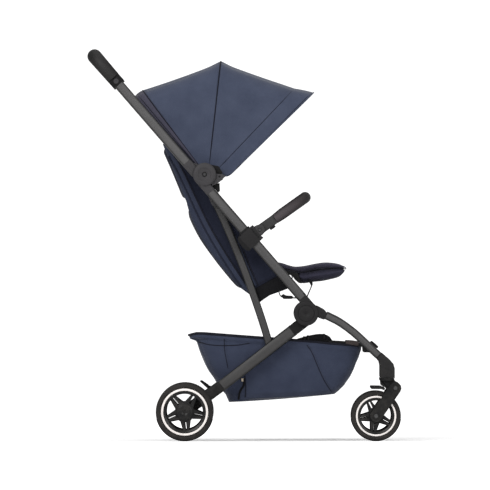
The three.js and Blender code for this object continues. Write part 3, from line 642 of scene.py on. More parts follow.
def screw_tree():
    """A domed socket screw head at every point, facing along the point's normal."""
    tree, ids, put, out = tree_with("screw_heads", [
        ("Radius", "NodeSocketFloat"), ("Rise", "NodeSocketFloat"), ("Material", "NodeSocketMaterial")])
    new, join = tree.nodes.new, tree.links.new
    head = new("GeometryNodeMeshCone")
    head.inputs["Vertices"].default_value = 24
    socket = new("GeometryNodeMeshCylinder")
    socket.inputs["Vertices"].default_value = 6
    # The head's flat top, the socket's width and the socket's height, as shares of radius and rise.
    for source, share, target in (("Radius", 0.82, head.inputs["Radius Top"]),
                                  ("Radius", 0.42, socket.inputs["Radius"]),
                                  ("Rise", 2.3, socket.inputs["Depth"])):
        scaled = new("ShaderNodeMath")
        scaled.operation = "MULTIPLY"
        scaled.inputs[1].default_value = share
        join(put.outputs[source], scaled.inputs[0])
        join(scaled.outputs[0], target)
    both = new("GeometryNodeJoinGeometry")
    normal = new("GeometryNodeInputNormal")
    turn = new("FunctionNodeAlignRotationToVector")
    turn.axis = "Z"
    points = new("GeometryNodeMeshToPoints")
    points.mode = "FACES"
    place = new("GeometryNodeInstanceOnPoints")
    keep = new("GeometryNodeCaptureAttribute")
    real = new("GeometryNodeRealizeInstances")
    paint = new("GeometryNodeSetMaterial")
    keep.domain = "FACE"
    keep.capture_items.new("VECTOR", "facing")
    join(put.outputs["Geometry"], keep.inputs[0])
    join(normal.outputs[0], keep.inputs[1])
    join(keep.outputs[0], points.inputs[0])
    join(keep.outputs[1], turn.inputs["Vector"])
    join(put.outputs["Radius"], head.inputs["Radius Bottom"])
    join(put.outputs["Rise"], head.inputs["Depth"])
    join(head.outputs["Mesh"], both.inputs[0])
    join(socket.outputs["Mesh"], both.inputs[0])
    join(points.outputs[0], place.inputs["Points"])
    join(both.outputs[0], place.inputs["Instance"])
    join(turn.outputs[0], place.inputs["Rotation"])
    join(place.outputs[0], real.inputs[0])
    join(real.outputs[0], paint.inputs["Geometry"])
    join(put.outputs["Material"], paint.inputs["Material"])
    join(paint.outputs[0], out.inputs[0])
    return tree, ids


STITCH, STITCH_IDS = stitch_tree()
SCREW, SCREW_IDS = screw_tree()


def run_tree(obj, tree, ids, values):
    modifier = obj.modifiers.new("nodes", "NODES")
    modifier.node_group = tree
    for label, value in values.items():
        modifier[ids[label]] = value
    return apply_modifiers(obj)


def stitches(name, path, material=None, pitch=0.0042, length=0.0029, radius=0.00028):
    """A run of stitches along a path."""
    mesh = bpy.data.meshes.new("line")
    mesh.from_pydata([tuple(p) for p in path], [(i, i + 1) for i in range(len(path) - 1)], [])
    obj = link(name, mesh, material or THREAD)
    run_tree(obj, STITCH, STITCH_IDS, {
        "Pitch": pitch, "Length": length, "Radius": radius, "Material": material or THREAD})
    return obj


def screws(name, places, body, radius=0.0042, rise=0.0012):
    """Screw heads at (x, y, z) places, facing away from the middle of the stroller."""
    verts, faces = [], []
    tiny = 0.0005
    for x, y, z in places:
        base = len(verts)
        out = 1 if y > 0 else -1
        verts += [(x, y, z), (x + tiny, y, z), (x, y, z + tiny)]
        faces.append((base, base + 2, base + 1) if out > 0 else (base, base + 1, base + 2))
    mesh = bpy.data.meshes.new("points")
    mesh.from_pydata(verts, [], faces)
    obj = link(name, mesh, STEEL)
    run_tree(obj, SCREW, SCREW_IDS, {"Radius": radius, "Rise": rise, "Material": STEEL})
    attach(obj, body)
    return obj


# ---- Wheels -------------------------------------------------------------------------------
def wheel(end, side, hub_radius, spoke_turn, with_cap):
    """One wheel: ribbed tyre, rim with paired spokes, pale ring and hub."""
    sign = SIDES[side]
    low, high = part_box(f"{end}_wheel_tyre_{side}")
    joint = pivot(f"{end}_wheel_spin_{side}")
    centre = (joint.x, joint.z)
    radius = (high.z - low.z) / 2
    width = high.y - low.y
    inner = low.y if sign > 0 else high.y
    out = lambda t: inner + sign * width * t
    body = f"{end}_wheel_{side}"
    seat = radius * 0.835
    wall = radius - seat
    tyre_profile = [
        (seat, out(0.10)), (seat + wall * 0.25, out(0.01)), (seat + wall * 0.5, out(0.0)),
        (radius - 0.0042, out(0.07)), (radius - 0.0016, out(0.17)), (radius - 0.0004, out(0.28)),
        (radius - 0.0004, out(0.36)), (radius - 0.0016, out(0.38)), (radius - 0.0016, out(0.41)),
        (radius, out(0.43)), (radius, out(0.57)), (radius - 0.0016, out(0.59)),
        (radius - 0.0016, out(0.62)), (radius - 0.0004, out(0.64)), (radius - 0.0004, out(0.72)),
        (radius - 0.0016, out(0.83)), (radius - 0.0042, out(0.93)), (seat + wall * 0.5, out(1.0)),
        (seat + wall * 0.25, out(0.99)), (seat, out(0.90))]
    tyre = link(f"{body}_tyre", lathe(tyre_profile, centre, 120), TYRE)
    ride(tyre, body, f"{end}_wheel_tyre_{side}")
    rim_inner = radius * 0.63
    lip = radius * 0.735
    barrel = [
        (rim_inner, out(0.16)), (lip, out(0.07)), (seat - 0.0002, out(0.12)), (seat - 0.0002, out(0.88)),
        (seat - 0.0012, out(0.935)), (lip - 0.0005, out(0.925)), (lip - 0.0022, out(0.90)),
        (rim_inner + 0.0016, out(0.84)), (rim_inner, out(0.80)),
        (rim_inner + 0.0022, out(0.66)), (rim_inner + 0.0022, out(0.34))]
    rim = link(f"{body}_rim_ring", lathe(barrel, centre, 120), RIM)
    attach(rim, body)
    for number, face in ((0, 0.94), (1, 0.065)):
        step = 0.0007 * sign * (1 if number == 0 else -1)
        y = out(face)
        ring = [(lip + 0.0002, y - step), (lip + 0.0006, y + step), (seat - 0.0018, y + step * 1.2),
                (seat - 0.0012, y - step)]
        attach(link(f"{body}_stripe_{number}", lathe(ring, centre, 120), STRIPE), body)
    spokes = []
    reach = rim_inner + 0.0018
    for arm in range(5):
        for blade in (-1, 1):
            turn = math.radians(spoke_turn + 72 * arm)
            cos, sin = math.cos(turn), math.sin(turn)
            ring = []
            for along, spread, middle, deep in (
                    (hub_radius * 0.75, 0.075, 0.104, 0.36), (reach, 0.033, 0.064, 0.28)):
                lift, spread = blade * radius * middle, radius * spread
                for across, depth in ((-spread, -deep), (spread, -deep), (spread, deep), (-spread, deep)):
                    u, v = along, lift + across
                    ring.append((centre[0] + u * cos - v * sin, out(0.5) + sign * width * depth,
                                 centre[1] + u * sin + v * cos))
            spokes.append(ring)
    verts, faces = [], []
    for ring in spokes:
        base = len(verts)
        verts += ring
        faces += [tuple(base + i for i in f) for f in (
            (0, 1, 2, 3), (4, 5, 6, 7), (0, 1, 5, 4), (1, 2, 6, 5), (2, 3, 7, 6), (3, 0, 4, 7))]
    blades = link(f"{body}_spokes", mesh_from(verts, faces, False), RIM)
    soften(blades, 0.0011, 3)
    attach(blades, body)
    crown = 0.97 if with_cap else 0.86
    hub = [(0.0001, out(crown)), (hub_radius * 0.55, out(crown - 0.01)),
           (hub_radius * 0.8, out(crown - 0.05)), (hub_radius * 0.93, out(crown - 0.11)),
           (hub_radius, out(crown - 0.2)),
           (hub_radius, out(0.2)), (hub_radius * 0.92, out(0.12)), (hub_radius * 0.5, out(0.08)),
           (hub_radius * 0.46, out(0.02)), (0.0001, out(0.02))]
    ride(link(f"{body}_hub", lathe(hub, centre, 72), RIM), body, f"{end}_wheel_rim_{side}")
    groove = [(hub_radius * 0.80, out(crown - 0.045)), (hub_radius * 0.83, out(crown - 0.035)),
              (hub_radius * 0.86, out(crown - 0.055)), (hub_radius * 0.83, out(crown - 0.08))]
    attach(link(f"{body}_hub_ring", lathe(groove, centre, 72), BLACK), body)


for side_name in SIDES:
    wheel("rear", side_name, 0.0267, 59.0, True)
    wheel("front", side_name, 0.0210, 44.0, False)


# ---- Rigid frame ----------------------------------------------------------------------------
REFINED = {
    "frame_tube": (MID_ANTHRACITE, 0.0008), "push_tube": (ANTHRACITE, 0.0008),
    "rear_leg_tube": (DEEP_ANTHRACITE, 0.0008), "front_leg_tube": (MID_ANTHRACITE, 0.0010),
    "upper_hinge": (HINGE, 0.0010), "main_hinge": (DARK_HINGE, 0.0010),
    "push_hinge": (HINGE, 0.0010), "rear_leg_hinge": (BLACK, 0.0012), "front_leg_hinge": (DARK_HINGE, 0.0012),
    "rear_bracket": (BLACK, 0.0014), "elbow": (DARK_HINGE, 0.0030), "swivel_head": (BLACK, 0.0014),
    "front_fork": (BLACK, 0.0016), "swivel_lock": (BLACK, 0.0012), "bumper_clamp": (BLACK, 0.0012),
}
for stem, (finish, edge) in REFINED.items():
    for side_name in SIDES:
        refined(f"{stem}_{side_name}", finish, edge)
for node_name, finish, edge in (
        ("rear_crossbar", ANTHRACITE, 0.0008), ("front_crossbar", BLACK, 0.0008),
        ("seat_crossbar", ANTHRACITE, 0.0008), ("seat_base", BLACK, 0.0020),
        ("harness_buckle", BLACK, 0.0020), ("brake_pedal", BLACK, 0.0018),
        ("fold_button", BLACK, 0.0018), ("canopy_bow_rear", BLACK, 0.0003),
        ("canopy_bow_middle", BLACK, 0.0003), ("canopy_bow_front", BLACK, 0.0003)):
    refined(node_name, finish, edge)
bpy.data.objects["harness_buckle_skin"].data.transform(Matrix.Translation((-0.014, 0, -0.005)))


def cover_disc(name, centre, sign, profile, material, body):
    """A turned cover on a hinge: profile points are (radius, distance out from the middle plane)."""
    shape = [(radius, sign * y) for radius, y in profile]
    obj = link(name, lathe(shape, (centre.x, centre.z), 96), material)
    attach(obj, body)
    return obj


main_radius = 0.0334
upper_radius = 0.0314
for side_name, sign in SIDES.items():
    face = FRAME_OUTER + 0.0022
    cover_disc(f"main_hinge_cover_{side_name}", MAIN, sign, [
        (0.0001, face), (main_radius - 0.0036, face), (main_radius - 0.0014, face - 0.0006),
        (main_radius, face - 0.0022), (main_radius, FRAME_OUTER - 0.0082), (0.0001, FRAME_OUTER - 0.0082)],
        DARK_HINGE, "frame")
    cover_disc(f"main_hinge_cap_{side_name}", MAIN, sign, [
        (0.0001, face + 0.0018), (0.0180, face + 0.0017), (0.0203, face + 0.0008), (0.0212, face - 0.0004),
        (0.0212, face - 0.002), (0.0001, face - 0.002)], DARK_HINGE, "frame")
    cover_disc(f"main_hinge_ring_{side_name}", MAIN, sign, [
        (0.0210, face - 0.0006), (0.0210, face + 0.0003), (0.0218, face + 0.0004), (0.0226, face + 0.0003),
        (0.0226, face - 0.0006)], RIM, "frame")
    dish = FRAME_OUTER + 0.0033
    cover_disc(f"upper_hinge_cover_{side_name}", UPPER, sign, [
        (0.0001, dish), (0.0150, dish + 0.0002), (0.0165, dish + 0.0008), (0.0176, dish + 0.0022),
        (0.0190, dish + 0.0027), (0.0270, dish + 0.0018), (upper_radius - 0.0012, dish),
        (upper_radius, dish - 0.0020), (upper_radius, FRAME_OUTER - 0.0082), (0.0001, FRAME_OUTER - 0.0082)],
        HINGE, "frame")
    cover_disc(f"upper_hinge_washer_{side_name}", UPPER, sign, [
        (0.0001, dish + 0.0006), (0.0056, dish + 0.0006), (0.0064, dish + 0.0002), (0.0064, dish - 0.001),
        (0.0001, dish - 0.001)], BLACK, "frame")
    screws(f"upper_hinge_screw_{side_name}", [(UPPER.x, sign * (dish + 0.0005), UPPER.z)], "frame", 0.0046)
    fork_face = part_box(f"front_fork_{side_name}")[1 if sign > 0 else 0].y
    screws(f"fork_screws_{side_name}", [
        (FORK.x, fork_face, FORK.z), (FRONT_AXLE.x, fork_face, FRONT_AXLE.z)],
        f"front_fork_{side_name}", 0.0058)
    lug = FRAME_OUTER + 0.0042
    cover_disc(f"clamp_lug_{side_name}", BUMPER, sign, [
        (0.0001, lug), (0.0132, lug), (0.0146, lug - 0.0010), (0.0146, FRAME_OUTER - 0.001),
        (0.0001, FRAME_OUTER - 0.001)], GREY, "frame")
    cover_disc(f"clamp_lug_recess_{side_name}", BUMPER, sign, [
        (0.0001, lug + 0.0003), (0.0046, lug + 0.0003), (0.0052, lug - 0.0002), (0.0001, lug - 0.0004)],
        BLACK, "frame")
    screws(f"clamp_screw_{side_name}", [(BUMPER.x, sign * (lug + 0.0003), BUMPER.z)], "frame", 0.0040)


# Side-view outlines of small trim, in millimetres.
CLAMP_BODY = [(-7, 559), (20, 583), (25, 579), (40, 557), (50, 549), (24, 524), (14, 518),
              (-7, 539), (-16, 550)]
CLAMP_TAB = [(-20, 547), (-15, 555), (-2, 540), (18, 518), (11, 513), (4, 514), (-7, 523), (-17, 537)]
CLAMP_SLOT = [(16, 571), (19, 573.5), (39, 550), (36, 547.5)]
TAIL = [(-90, 688), (-78, 693.5), (-70, 700), (-60, 709), (-52.6, 716.5), (-60, 719), (-77, 722), (-86, 712)]
STOP_BLOCK = [(-86, 690), (-69, 697), (-68, 676), (-73, 671), (-84, 684)]
LEG_COUPLING = [(190, 362), (198, 360.3), (224.6, 344.6), (214.2, 327), (203, 330.5), (190, 337)]
PIN_BACKING = [(-92, 746), (-72, 742), (-60, 724), (-72, 716), (-88, 720)]

for side_name, sign in SIDES.items():
    for name, outline, low, high, finish in (
            ("clamp_shell", CLAMP_BODY, 0.0030, 0.0044, DARK_HINGE),
            ("clamp_tab", CLAMP_TAB, -0.0060, 0.0036, BLACK),
            ("clamp_slot", CLAMP_SLOT, 0.0040, 0.0049, RIM),
            ("hinge_tail", TAIL, -0.0080, -0.0045, HINGE),
            ("hinge_stop", STOP_BLOCK, -0.0300, -0.0200, BLACK),
            ("pin_backing", PIN_BACKING, -0.0270, -0.0200, BLACK)):
        piece = prism(f"{name}_{side_name}", outline, sign * (FRAME_OUTER + low), sign * (FRAME_OUTER + high),
                      finish, 0.0006)
        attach(piece, "frame")
    coupling = prism(f"front_leg_coupling_{side_name}", LEG_COUPLING, sign * (FRAME_OUTER - 0.0182),
                     sign * (FRAME_OUTER - 0.0004), DARK_HINGE, 0.0030, 4)
    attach(coupling, "front_legs")
    pin = [(0.0001, sign * (FRAME_OUTER - 0.0040)), (0.0024, sign * (FRAME_OUTER - 0.0040)),
           (0.0030, sign * (FRAME_OUTER - 0.0046)), (0.0001, sign * (FRAME_OUTER - 0.0050))]
    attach(link(f"canopy_pin_cap_{side_name}", lathe(pin, (CANOPY.x, CANOPY.z), 32), RIM), "frame")


def bowed_strut(side):
    """A strut that bows forward a little between its two eyes."""
    node = f"strut_{side}"
    low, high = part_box(node)
    middle = (low.y + high.y) / 2
    eye = 0.01025
    foot, head = Vector((high.x - eye, middle, low.z + eye)), Vector((low.x + eye, middle, high.z - eye))
    line = []
    for k in range(41):
        t = k / 40
        line.append(foot.lerp(head, t) + Vector((0.0100 * math.sin(math.pi * t) ** 0.62, 0, 0)))
    body = frame["nodes"][node]["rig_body"]
    section = rounded(high.y - low.y - 0.0006, 0.0205, 0.0042, 5)
    rail = link(f"strut_rail_{side}", sweep(line, section), DEEP_ANTHRACITE)
    soften(rail, 0.0006, 2, 40)
    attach(rail, body)
    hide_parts(node)
    for label, end in (("foot", foot), ("head", head)):
        profile = [(0.0052, low.y + 0.0006), (eye - 0.001, low.y + 0.0004), (eye, low.y + 0.0014),
                   (eye, high.y - 0.0014), (eye - 0.001, high.y - 0.0004), (0.0052, high.y - 0.0006),
                   (0.0052, low.y + 0.0006)]
        ring = lathe(profile, (end.x, end.z), 40, False)
        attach(link(f"strut_{label}_eye_{side}", ring, DEEP_ANTHRACITE), body)


BASKET_HOOK = [(312, 262), (318, 253), (319.5, 239), (343.5, 238.5), (353, 231), (358, 236),
               (345, 250), (328, 262)]
HOOK_LEVER = [(337, 263), (344, 269), (352, 263), (361, 254), (357, 250), (345, 256)]
LOCK_ARM = [(340, 147.5), (341, 143.8), (352, 143.4), (366, 140.5), (376, 136.5), (379, 142), (367, 147)]

for side_name, sign in SIDES.items():
    bowed_strut(side_name)
    for label, outline, low, high in (
            ("basket_hook", BASKET_HOOK, 0.030, 0.022), ("hook_lever", HOOK_LEVER, 0.024, 0.019)):
        piece = prism(f"{label}_{side_name}", outline, sign * (FRAME_OUTER - low),
                      sign * (FRAME_OUTER - high), BLACK, 0.0012)
        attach(piece, "front_legs")
    low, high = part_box(f"swivel_lock_{side_name}")
    arm = prism(f"lock_arm_{side_name}", LOCK_ARM, low.y + 0.001, high.y - 0.001, BLACK, 0.0010)
    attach(arm, frame["nodes"][f"swivel_lock_{side_name}"]["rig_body"])
    top, along = Vector((0.1288, sign * (FRAME_OUTER - 0.028), 0.297)), Vector((0.7907, 0, 0.6122))
    collar = sweep([top + along * t for t in (-0.0030, -0.0022, 0.0040, 0.0048)],
                   rounded(0.0183, 0.0304, 0.006, 4), lambda t: 0.97 if t in (0.0, 1.0) else 1.0)
    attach(link(f"rear_leg_collar_{side_name}", collar, BLACK), "rear_legs")


# ---- Handlebar and bumper grips ----------------------------------------------------------------
def push_line(side):
    """The push tube's lowest and highest end in the side view, and its direction."""
    co = np.array([v.co for v in frame["nodes"][f"push_tube_{side}"].data.vertices])
    plane = co[:, [0, 2]]
    middle = plane.mean(0)
    along = np.linalg.svd(plane - middle)[2][0]
    along = along if along[1] > 0 else -along
    reach = (plane - middle) @ along
    low = middle + along * reach.min()
    high = middle + along * reach.max()
    return Vector((low[0], 0, low[1])), Vector((high[0], 0, high[1])), Vector((along[0], 0, along[1]))


PUSH_LOW, PUSH_HIGH, PUSH_UP = push_line("left")
TUBE_MIDDLE = FRAME_OUTER - 0.009


def hand_grip():
    """U-shaped handlebar: leather tube up from both collars and across."""
    far = (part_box("handlebar_grip")[1].z - PUSH_HIGH.z) / PUSH_UP.z - 0.0230
    run = [(0.0, TUBE_MIDDLE), (0.022, TUBE_MIDDLE), (far * 0.66, TUBE_MIDDLE - 0.003),
           (far * 0.9, TUBE_MIDDLE - 0.018), (far, TUBE_MIDDLE - 0.048), (far, 0.07), (far, 0.03)]
    half = [PUSH_HIGH + PUSH_UP * t + Vector((0, y, 0)) for t, y in run]
    other = [Vector((p.x, -p.y, p.z)) for p in reversed(half)]
    path = smooth_path(half + other, 150)
    grow = lambda t: 0.98 + 0.07 * min(1.0, min(t, 1 - t) / 0.16)
    piece = link("handlebar_leather", sweep(path, circle(0.0186, 28), grow), HANDLE_LEATHER)
    soften(piece, 0.0025, 3, 50)
    ride(piece, "push_bar", "handlebar_grip")
    inside = [p + Vector((0.0136, 0, -0.0136)) for p in path[26:-26]]
    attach(stitches("handlebar_stitching", inside, THREAD, 0.0046, 0.0032, 0.00035), "push_bar")
    for side, sign in SIDES.items():
        start = PUSH_HIGH + PUSH_UP * -0.023 + Vector((0, sign * TUBE_MIDDLE, 0))
        path = [start + PUSH_UP * t for t in (0.0, 0.0012, 0.0222, 0.0236)]
        scale = lambda t: 0.94 if t in (0.0, 1.0) else 1.0
        collar = link(f"handle_collar_{side}", sweep(path, rounded(0.0245, 0.0362, 0.008, 5), scale), BLACK)
        soften(collar, 0.0012, 3)
        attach(collar, "push_bar")
        middle = start + PUSH_UP * 0.0118
        face = sign * (TUBE_MIDDLE + 0.0122)
        ring = [(radius, face + sign * rise) for radius, rise in (
            (0.0001, 0.0008), (0.0062, 0.0008), (0.0070, 0.0002), (0.0074, -0.0010), (0.0001, -0.0010))]
        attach(link(f"collar_button_{side}", lathe(ring, (middle.x, middle.z), 48), HINGE), "push_bar")


def bumper():
    """Front bar: grey plastic arms and a leather-covered grip that swells to the tip."""
    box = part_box("bumper_bar")
    arm_y = (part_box("rear_leg_tube_left")[1].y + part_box("strut_left")[1].y) / 2 + 0.0008
    lean = math.radians(35.5)
    out = Vector((math.cos(lean), 0, math.sin(lean)))
    seam = BUMPER + out * 0.0510
    reach = (box[1].x - 0.0165 - seam.x) / out.x
    run = [(0.0, arm_y), (reach * 0.34, arm_y), (reach * 0.70, arm_y - 0.008), (reach * 0.92, arm_y - 0.032),
           (reach, arm_y - 0.070), (reach * 1.015, 0.045), (reach * 1.02, 0.02)]
    half = [seam + out * t + Vector((0, y, 0)) for t, y in run]
    path = smooth_path(half + [Vector((p.x, -p.y, p.z)) for p in reversed(half)], 150)
    grow = lambda t: 0.93 + 0.12 * min(1.0, min(t, 1 - t) / 0.05)
    grip = link("bumper_leather", sweep(path, circle(0.0146, 26), grow), LEATHER)
    soften(grip, 0.002, 3, 50)
    ride(grip, "bumper_bar", "bumper_bar")
    under = [p + Vector((0.006, 0, -0.0142)) for p in path[22:-22]]
    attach(stitches("bumper_stitching", under, THREAD, 0.0044, 0.0030, 0.00032), "bumper_bar")
    for side, sign in SIDES.items():
        middle = Vector((0, sign * arm_y, 0))
        start = BUMPER + out * 0.006 + middle
        path = [start, BUMPER + out * 0.0522 + middle]
        arm = link(f"bumper_arm_{side}", sweep(path, rounded(0.0165, 0.0262, 0.006, 5)), GREY)
        soften(arm, 0.0010, 3)
        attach(arm, "bumper_bar")
        hub = [(0.0001, sign * (arm_y + 0.0084)), (0.0132, sign * (arm_y + 0.0084)),
               (0.0144, sign * (arm_y + 0.0072)), (0.0144, sign * (arm_y - 0.0072)),
               (0.0132, sign * (arm_y - 0.0084)), (0.0001, sign * (arm_y - 0.0084))]
        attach(link(f"bumper_arm_hub_{side}", lathe(hub, (BUMPER.x, BUMPER.z), 48), GREY), "bumper_bar")
        latch_path = [start + out * t + Vector((0.0075, 0, -0.0125)) for t in (0.020, 0.036)]
        latch = link(f"bumper_latch_{side}", sweep(latch_path, rounded(0.013, 0.008, 0.0025, 4)), BLACK)
        soften(latch, 0.0008, 3)
        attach(latch, "bumper_bar")


hand_grip()
bumper()


# ---- Canopy ----------------------------------------------------------------------------------
# Rows of the canopy, from the rear bow to the tip of the visor: foot by the pivot, and top.
CANOPY_ROWS = {
    "band": (mm(-134, 746), mm(-299, 929)),
    "rear": (mm(-121, 738), mm(-277, 947)),
    "middle": (mm(-98, 733), mm(-66, 1022.5)),
    "front": (mm(-79, 728), mm(134, 952)),
    "tip": (mm(-17, 743), mm(185, 941)),
}
CANOPY_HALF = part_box("canopy_rear_panel")[1].y
CANOPY_CORNER = 0.046
ARCH_STEPS = 56


def arch_row(foot, top, drop=0.0, pull=0.0, inset=0.0):
    """Points across the stroller over one arch; drop lowers the roof, pull draws the sides in."""
    foot, top = Vector((foot[0], 0, foot[1])), Vector((top[0], 0, top[1]))
    height = (top - foot).length - drop
    up = (top - foot).normalized()
    half = CANOPY_HALF - inset
    corner = CANOPY_CORNER
    crown = 0.007
    side_run = height - corner - crown
    quarter = corner * math.pi / 2
    across = half - corner
    total = side_run + quarter + across
    points = []
    for k in range(-ARCH_STEPS, ARCH_STEPS + 1):
        sign = -1 if k < 0 else 1
        travel = total * (1 - abs(k) / ARCH_STEPS)
        if travel < side_run:
            t = travel / side_run
            along, y = travel, half - pull * math.sin(math.pi * t) ** 1.2
        elif travel < side_run + quarter:
            turn = (travel - side_run) / corner
            along, y = side_run + corner * math.sin(turn), half - corner * (1 - math.cos(turn))
        else:
            y = half - corner - (travel - side_run - quarter)
            along = side_run + corner + crown * (1 - (y / across) ** 2)
        points.append(foot + up * (along - inset) + Vector((0, sign * y, 0)))
    return points


def lerp2(a, b, t):
    return (a[0] + (b[0] - a[0]) * t, a[1] + (b[1] - a[1]) * t)


def canopy_rows(start, end, steps, sag, pull, lobe=0.0):
    """Rows between two bows: the roof dips between them and the sides draw in."""
    rows = []
    for i in range(steps + 1):
        t = i / steps
        foot = lerp2(CANOPY_ROWS[start][0], CANOPY_ROWS[end][0], t)
        foot = (foot[0], foot[1] - lobe * math.sin(math.pi * t))
        top = lerp2(CANOPY_ROWS[start][1], CANOPY_ROWS[end][1], t)
        dip = math.sin(math.pi * t) ** 0.8
        from_ridge = t if start == "middle" else 1 - t
        ridge = 0.0036 * math.exp(-((from_ridge * 10) ** 2)) if "middle" in (start, end) else 0.0
        rows.append(arch_row(foot, top, sag * dip - ridge, pull * dip))
    return rows


def creased(rows, strength, seed):
    """Soft folds that run out from the pivots."""
    made = []
    for row in rows:
        line = []
        for p in row:
            radial = Vector((p.x - CANOPY.x, 0, p.z - CANOPY.z))
            angle = math.atan2(radial.z, radial.x)
            near = math.exp(-((radial.length - 0.06) / 0.10) ** 2)
            wave = noise.noise(Vector((angle * 5.0 + seed, p.y * 3.0, radial.length * 4.0)))
            ripple = noise.noise(Vector((p.x * 11, p.y * 9 + seed, p.z * 11)))
            side = 1 if p.y > 0 else -1
            flat = min(1.0, abs(p.y) / CANOPY_HALF) ** 4
            shift = strength * (wave * near * 1.5 + ripple * 0.5)
            line.append(p + Vector((0, side * shift * flat, 0)) + Vector((0, 0, shift * (1 - flat) * 0.6)))
        made.append(line)
    return made


def canopy():
    """Two fabric panels over three bows, with the rear band, the visor's hem and the stitching."""
    rear = creased(canopy_rows("rear", "middle", 26, 0.0022, 0.005), 0.0022, 1.3)
    front = creased(canopy_rows("middle", "front", 26, 0.0010, 0.005), 0.0022, 4.1)
    tip = creased(canopy_rows("front", "tip", 12, -0.0012, 0.001, 0.020), 0.0008, 4.1)
    tip[0] = front[-1]
    front[0] = rear[-1]
    band = canopy_rows("band", "rear", 8, -0.0025, -0.0020)
    band[-1] = [p - Vector((0, math.copysign(0.0008, p.y), 0)) for p in rear[0]]
    back_sheet = link("canopy_rear_sheet", grid_mesh(rear), CANOPY_CLOTH)
    front_sheet = link("canopy_front_sheet", grid_mesh(front + tip[1:]), CANOPY_CLOTH)
    sizes = {}
    for sheet, rows in ((back_sheet, rear), (front_sheet, front + tip[1:])):
        area = area_of(sheet)
        width = max(run_length(row) for row in rows)
        middle = len(rows[0]) // 2
        depth = run_length([row[middle] for row in rows])
        sizes[sheet.name] = (width, depth, area)
        thicken(sheet, 0.0012)
    mid_line = [p + Vector((0, math.copysign(0.0002, p.y), 0)) for p in rear[-1]]
    fuller = lambda t: 0.7 + 0.7 * math.sin(math.pi * t) ** 0.6
    ridge = link("canopy_middle_seam", sweep(mid_line, circle(0.0016, 8), fuller, side=(1, 0, 0)), PIPING)
    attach(ridge, "canopy_middle")
    for label, row, radius in (("hem_seam", tip[0], 0.0011), ("edge_seam", tip[-2], 0.0010)):
        line = [p + Vector((0, math.copysign(0.0005, p.y), 0)) for p in row]
        ridge = link(f"canopy_{label}", sweep(line, circle(radius, 8), side=(1, 0, 0)), PIPING)
        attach(ridge, "canopy_front")
    hem = sweep(tip[-1], rounded(0.0030, 0.0075, 0.0014, 3), side=(0, 0, 1))
    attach(link("canopy_visor_hem", hem, CANOPY_CLOTH), "canopy_front")
    band_sheet = link("canopy_rear_band", grid_mesh(band), MAUVE_CLOTH)
    thicken(band_sheet, 0.0012)
    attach(band_sheet, "frame")
    for number, (index, radius) in enumerate(((0, 0.0030), (3, 0.0011), (8, 0.0022))):
        line = [p + Vector((0, math.copysign(0.0006, p.y), 0)) for p in band[index]]
        piping = link(f"canopy_rear_piping_{number}", sweep(line, circle(radius, 10), side=(1, 0, 0)), PIPING)
        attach(piping, "frame")
    outward = lambda row, lift: [
        p + Vector((0, (1 if p.y > 0 else -1) * lift * min(1, abs(p.y) / CANOPY_HALF) ** 8, 0))
        + Vector((0, 0, lift * (1 - min(1, abs(p.y) / CANOPY_HALF) ** 8))) for p in row]
    for number, row_index in enumerate((1, -2, -3)):
        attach(stitches(f"canopy_visor_stitching_{number}", outward(tip[row_index], 0.0004)), "canopy_front")
    for number, index in enumerate((2, -3)):
        run = stitches(f"canopy_rear_stitching_{number}", outward(rear[index], 0.0004))
        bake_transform(run)
    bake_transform(back_sheet)
    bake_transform(front_sheet)
    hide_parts("canopy_rear_panel")
    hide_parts("canopy_front_panel", "canopy_visor")
    for sheet, rests in ((back_sheet, "canopy_bow_rear_skin"), (front_sheet, "canopy_bow_middle_skin")):
        width, depth, area = sizes[sheet.name]


canopy()


# ---- Basket ------------------------------------------------------------------------------------
BASKET = [
    # One level a row, from the rim down: rear x, rear z, front x, front z, half width.
    (-0.1520, 0.2850, 0.315, 0.256, SOFT_HALF + 0.002),
    (-0.1490, 0.2755, 0.314, 0.246, SOFT_HALF + 0.0030),
    (-0.1310, 0.2690, 0.310, 0.234, SOFT_HALF - 0.001),
    (-0.1255, 0.2560, 0.306, 0.222, SOFT_HALF - 0.001),
    (-0.114, 0.226, 0.296, 0.200, SOFT_HALF - 0.003),
    (-0.094, 0.186, 0.282, 0.173, SOFT_HALF - 0.006),
    (-0.072, 0.150, 0.268, 0.150, SOFT_HALF - 0.010),
    (-0.0520, 0.124, 0.2530, 0.1345, SOFT_HALF - 0.014),
    (-0.0435, 0.104, 0.2425, 0.1258, SOFT_HALF - 0.024),
]


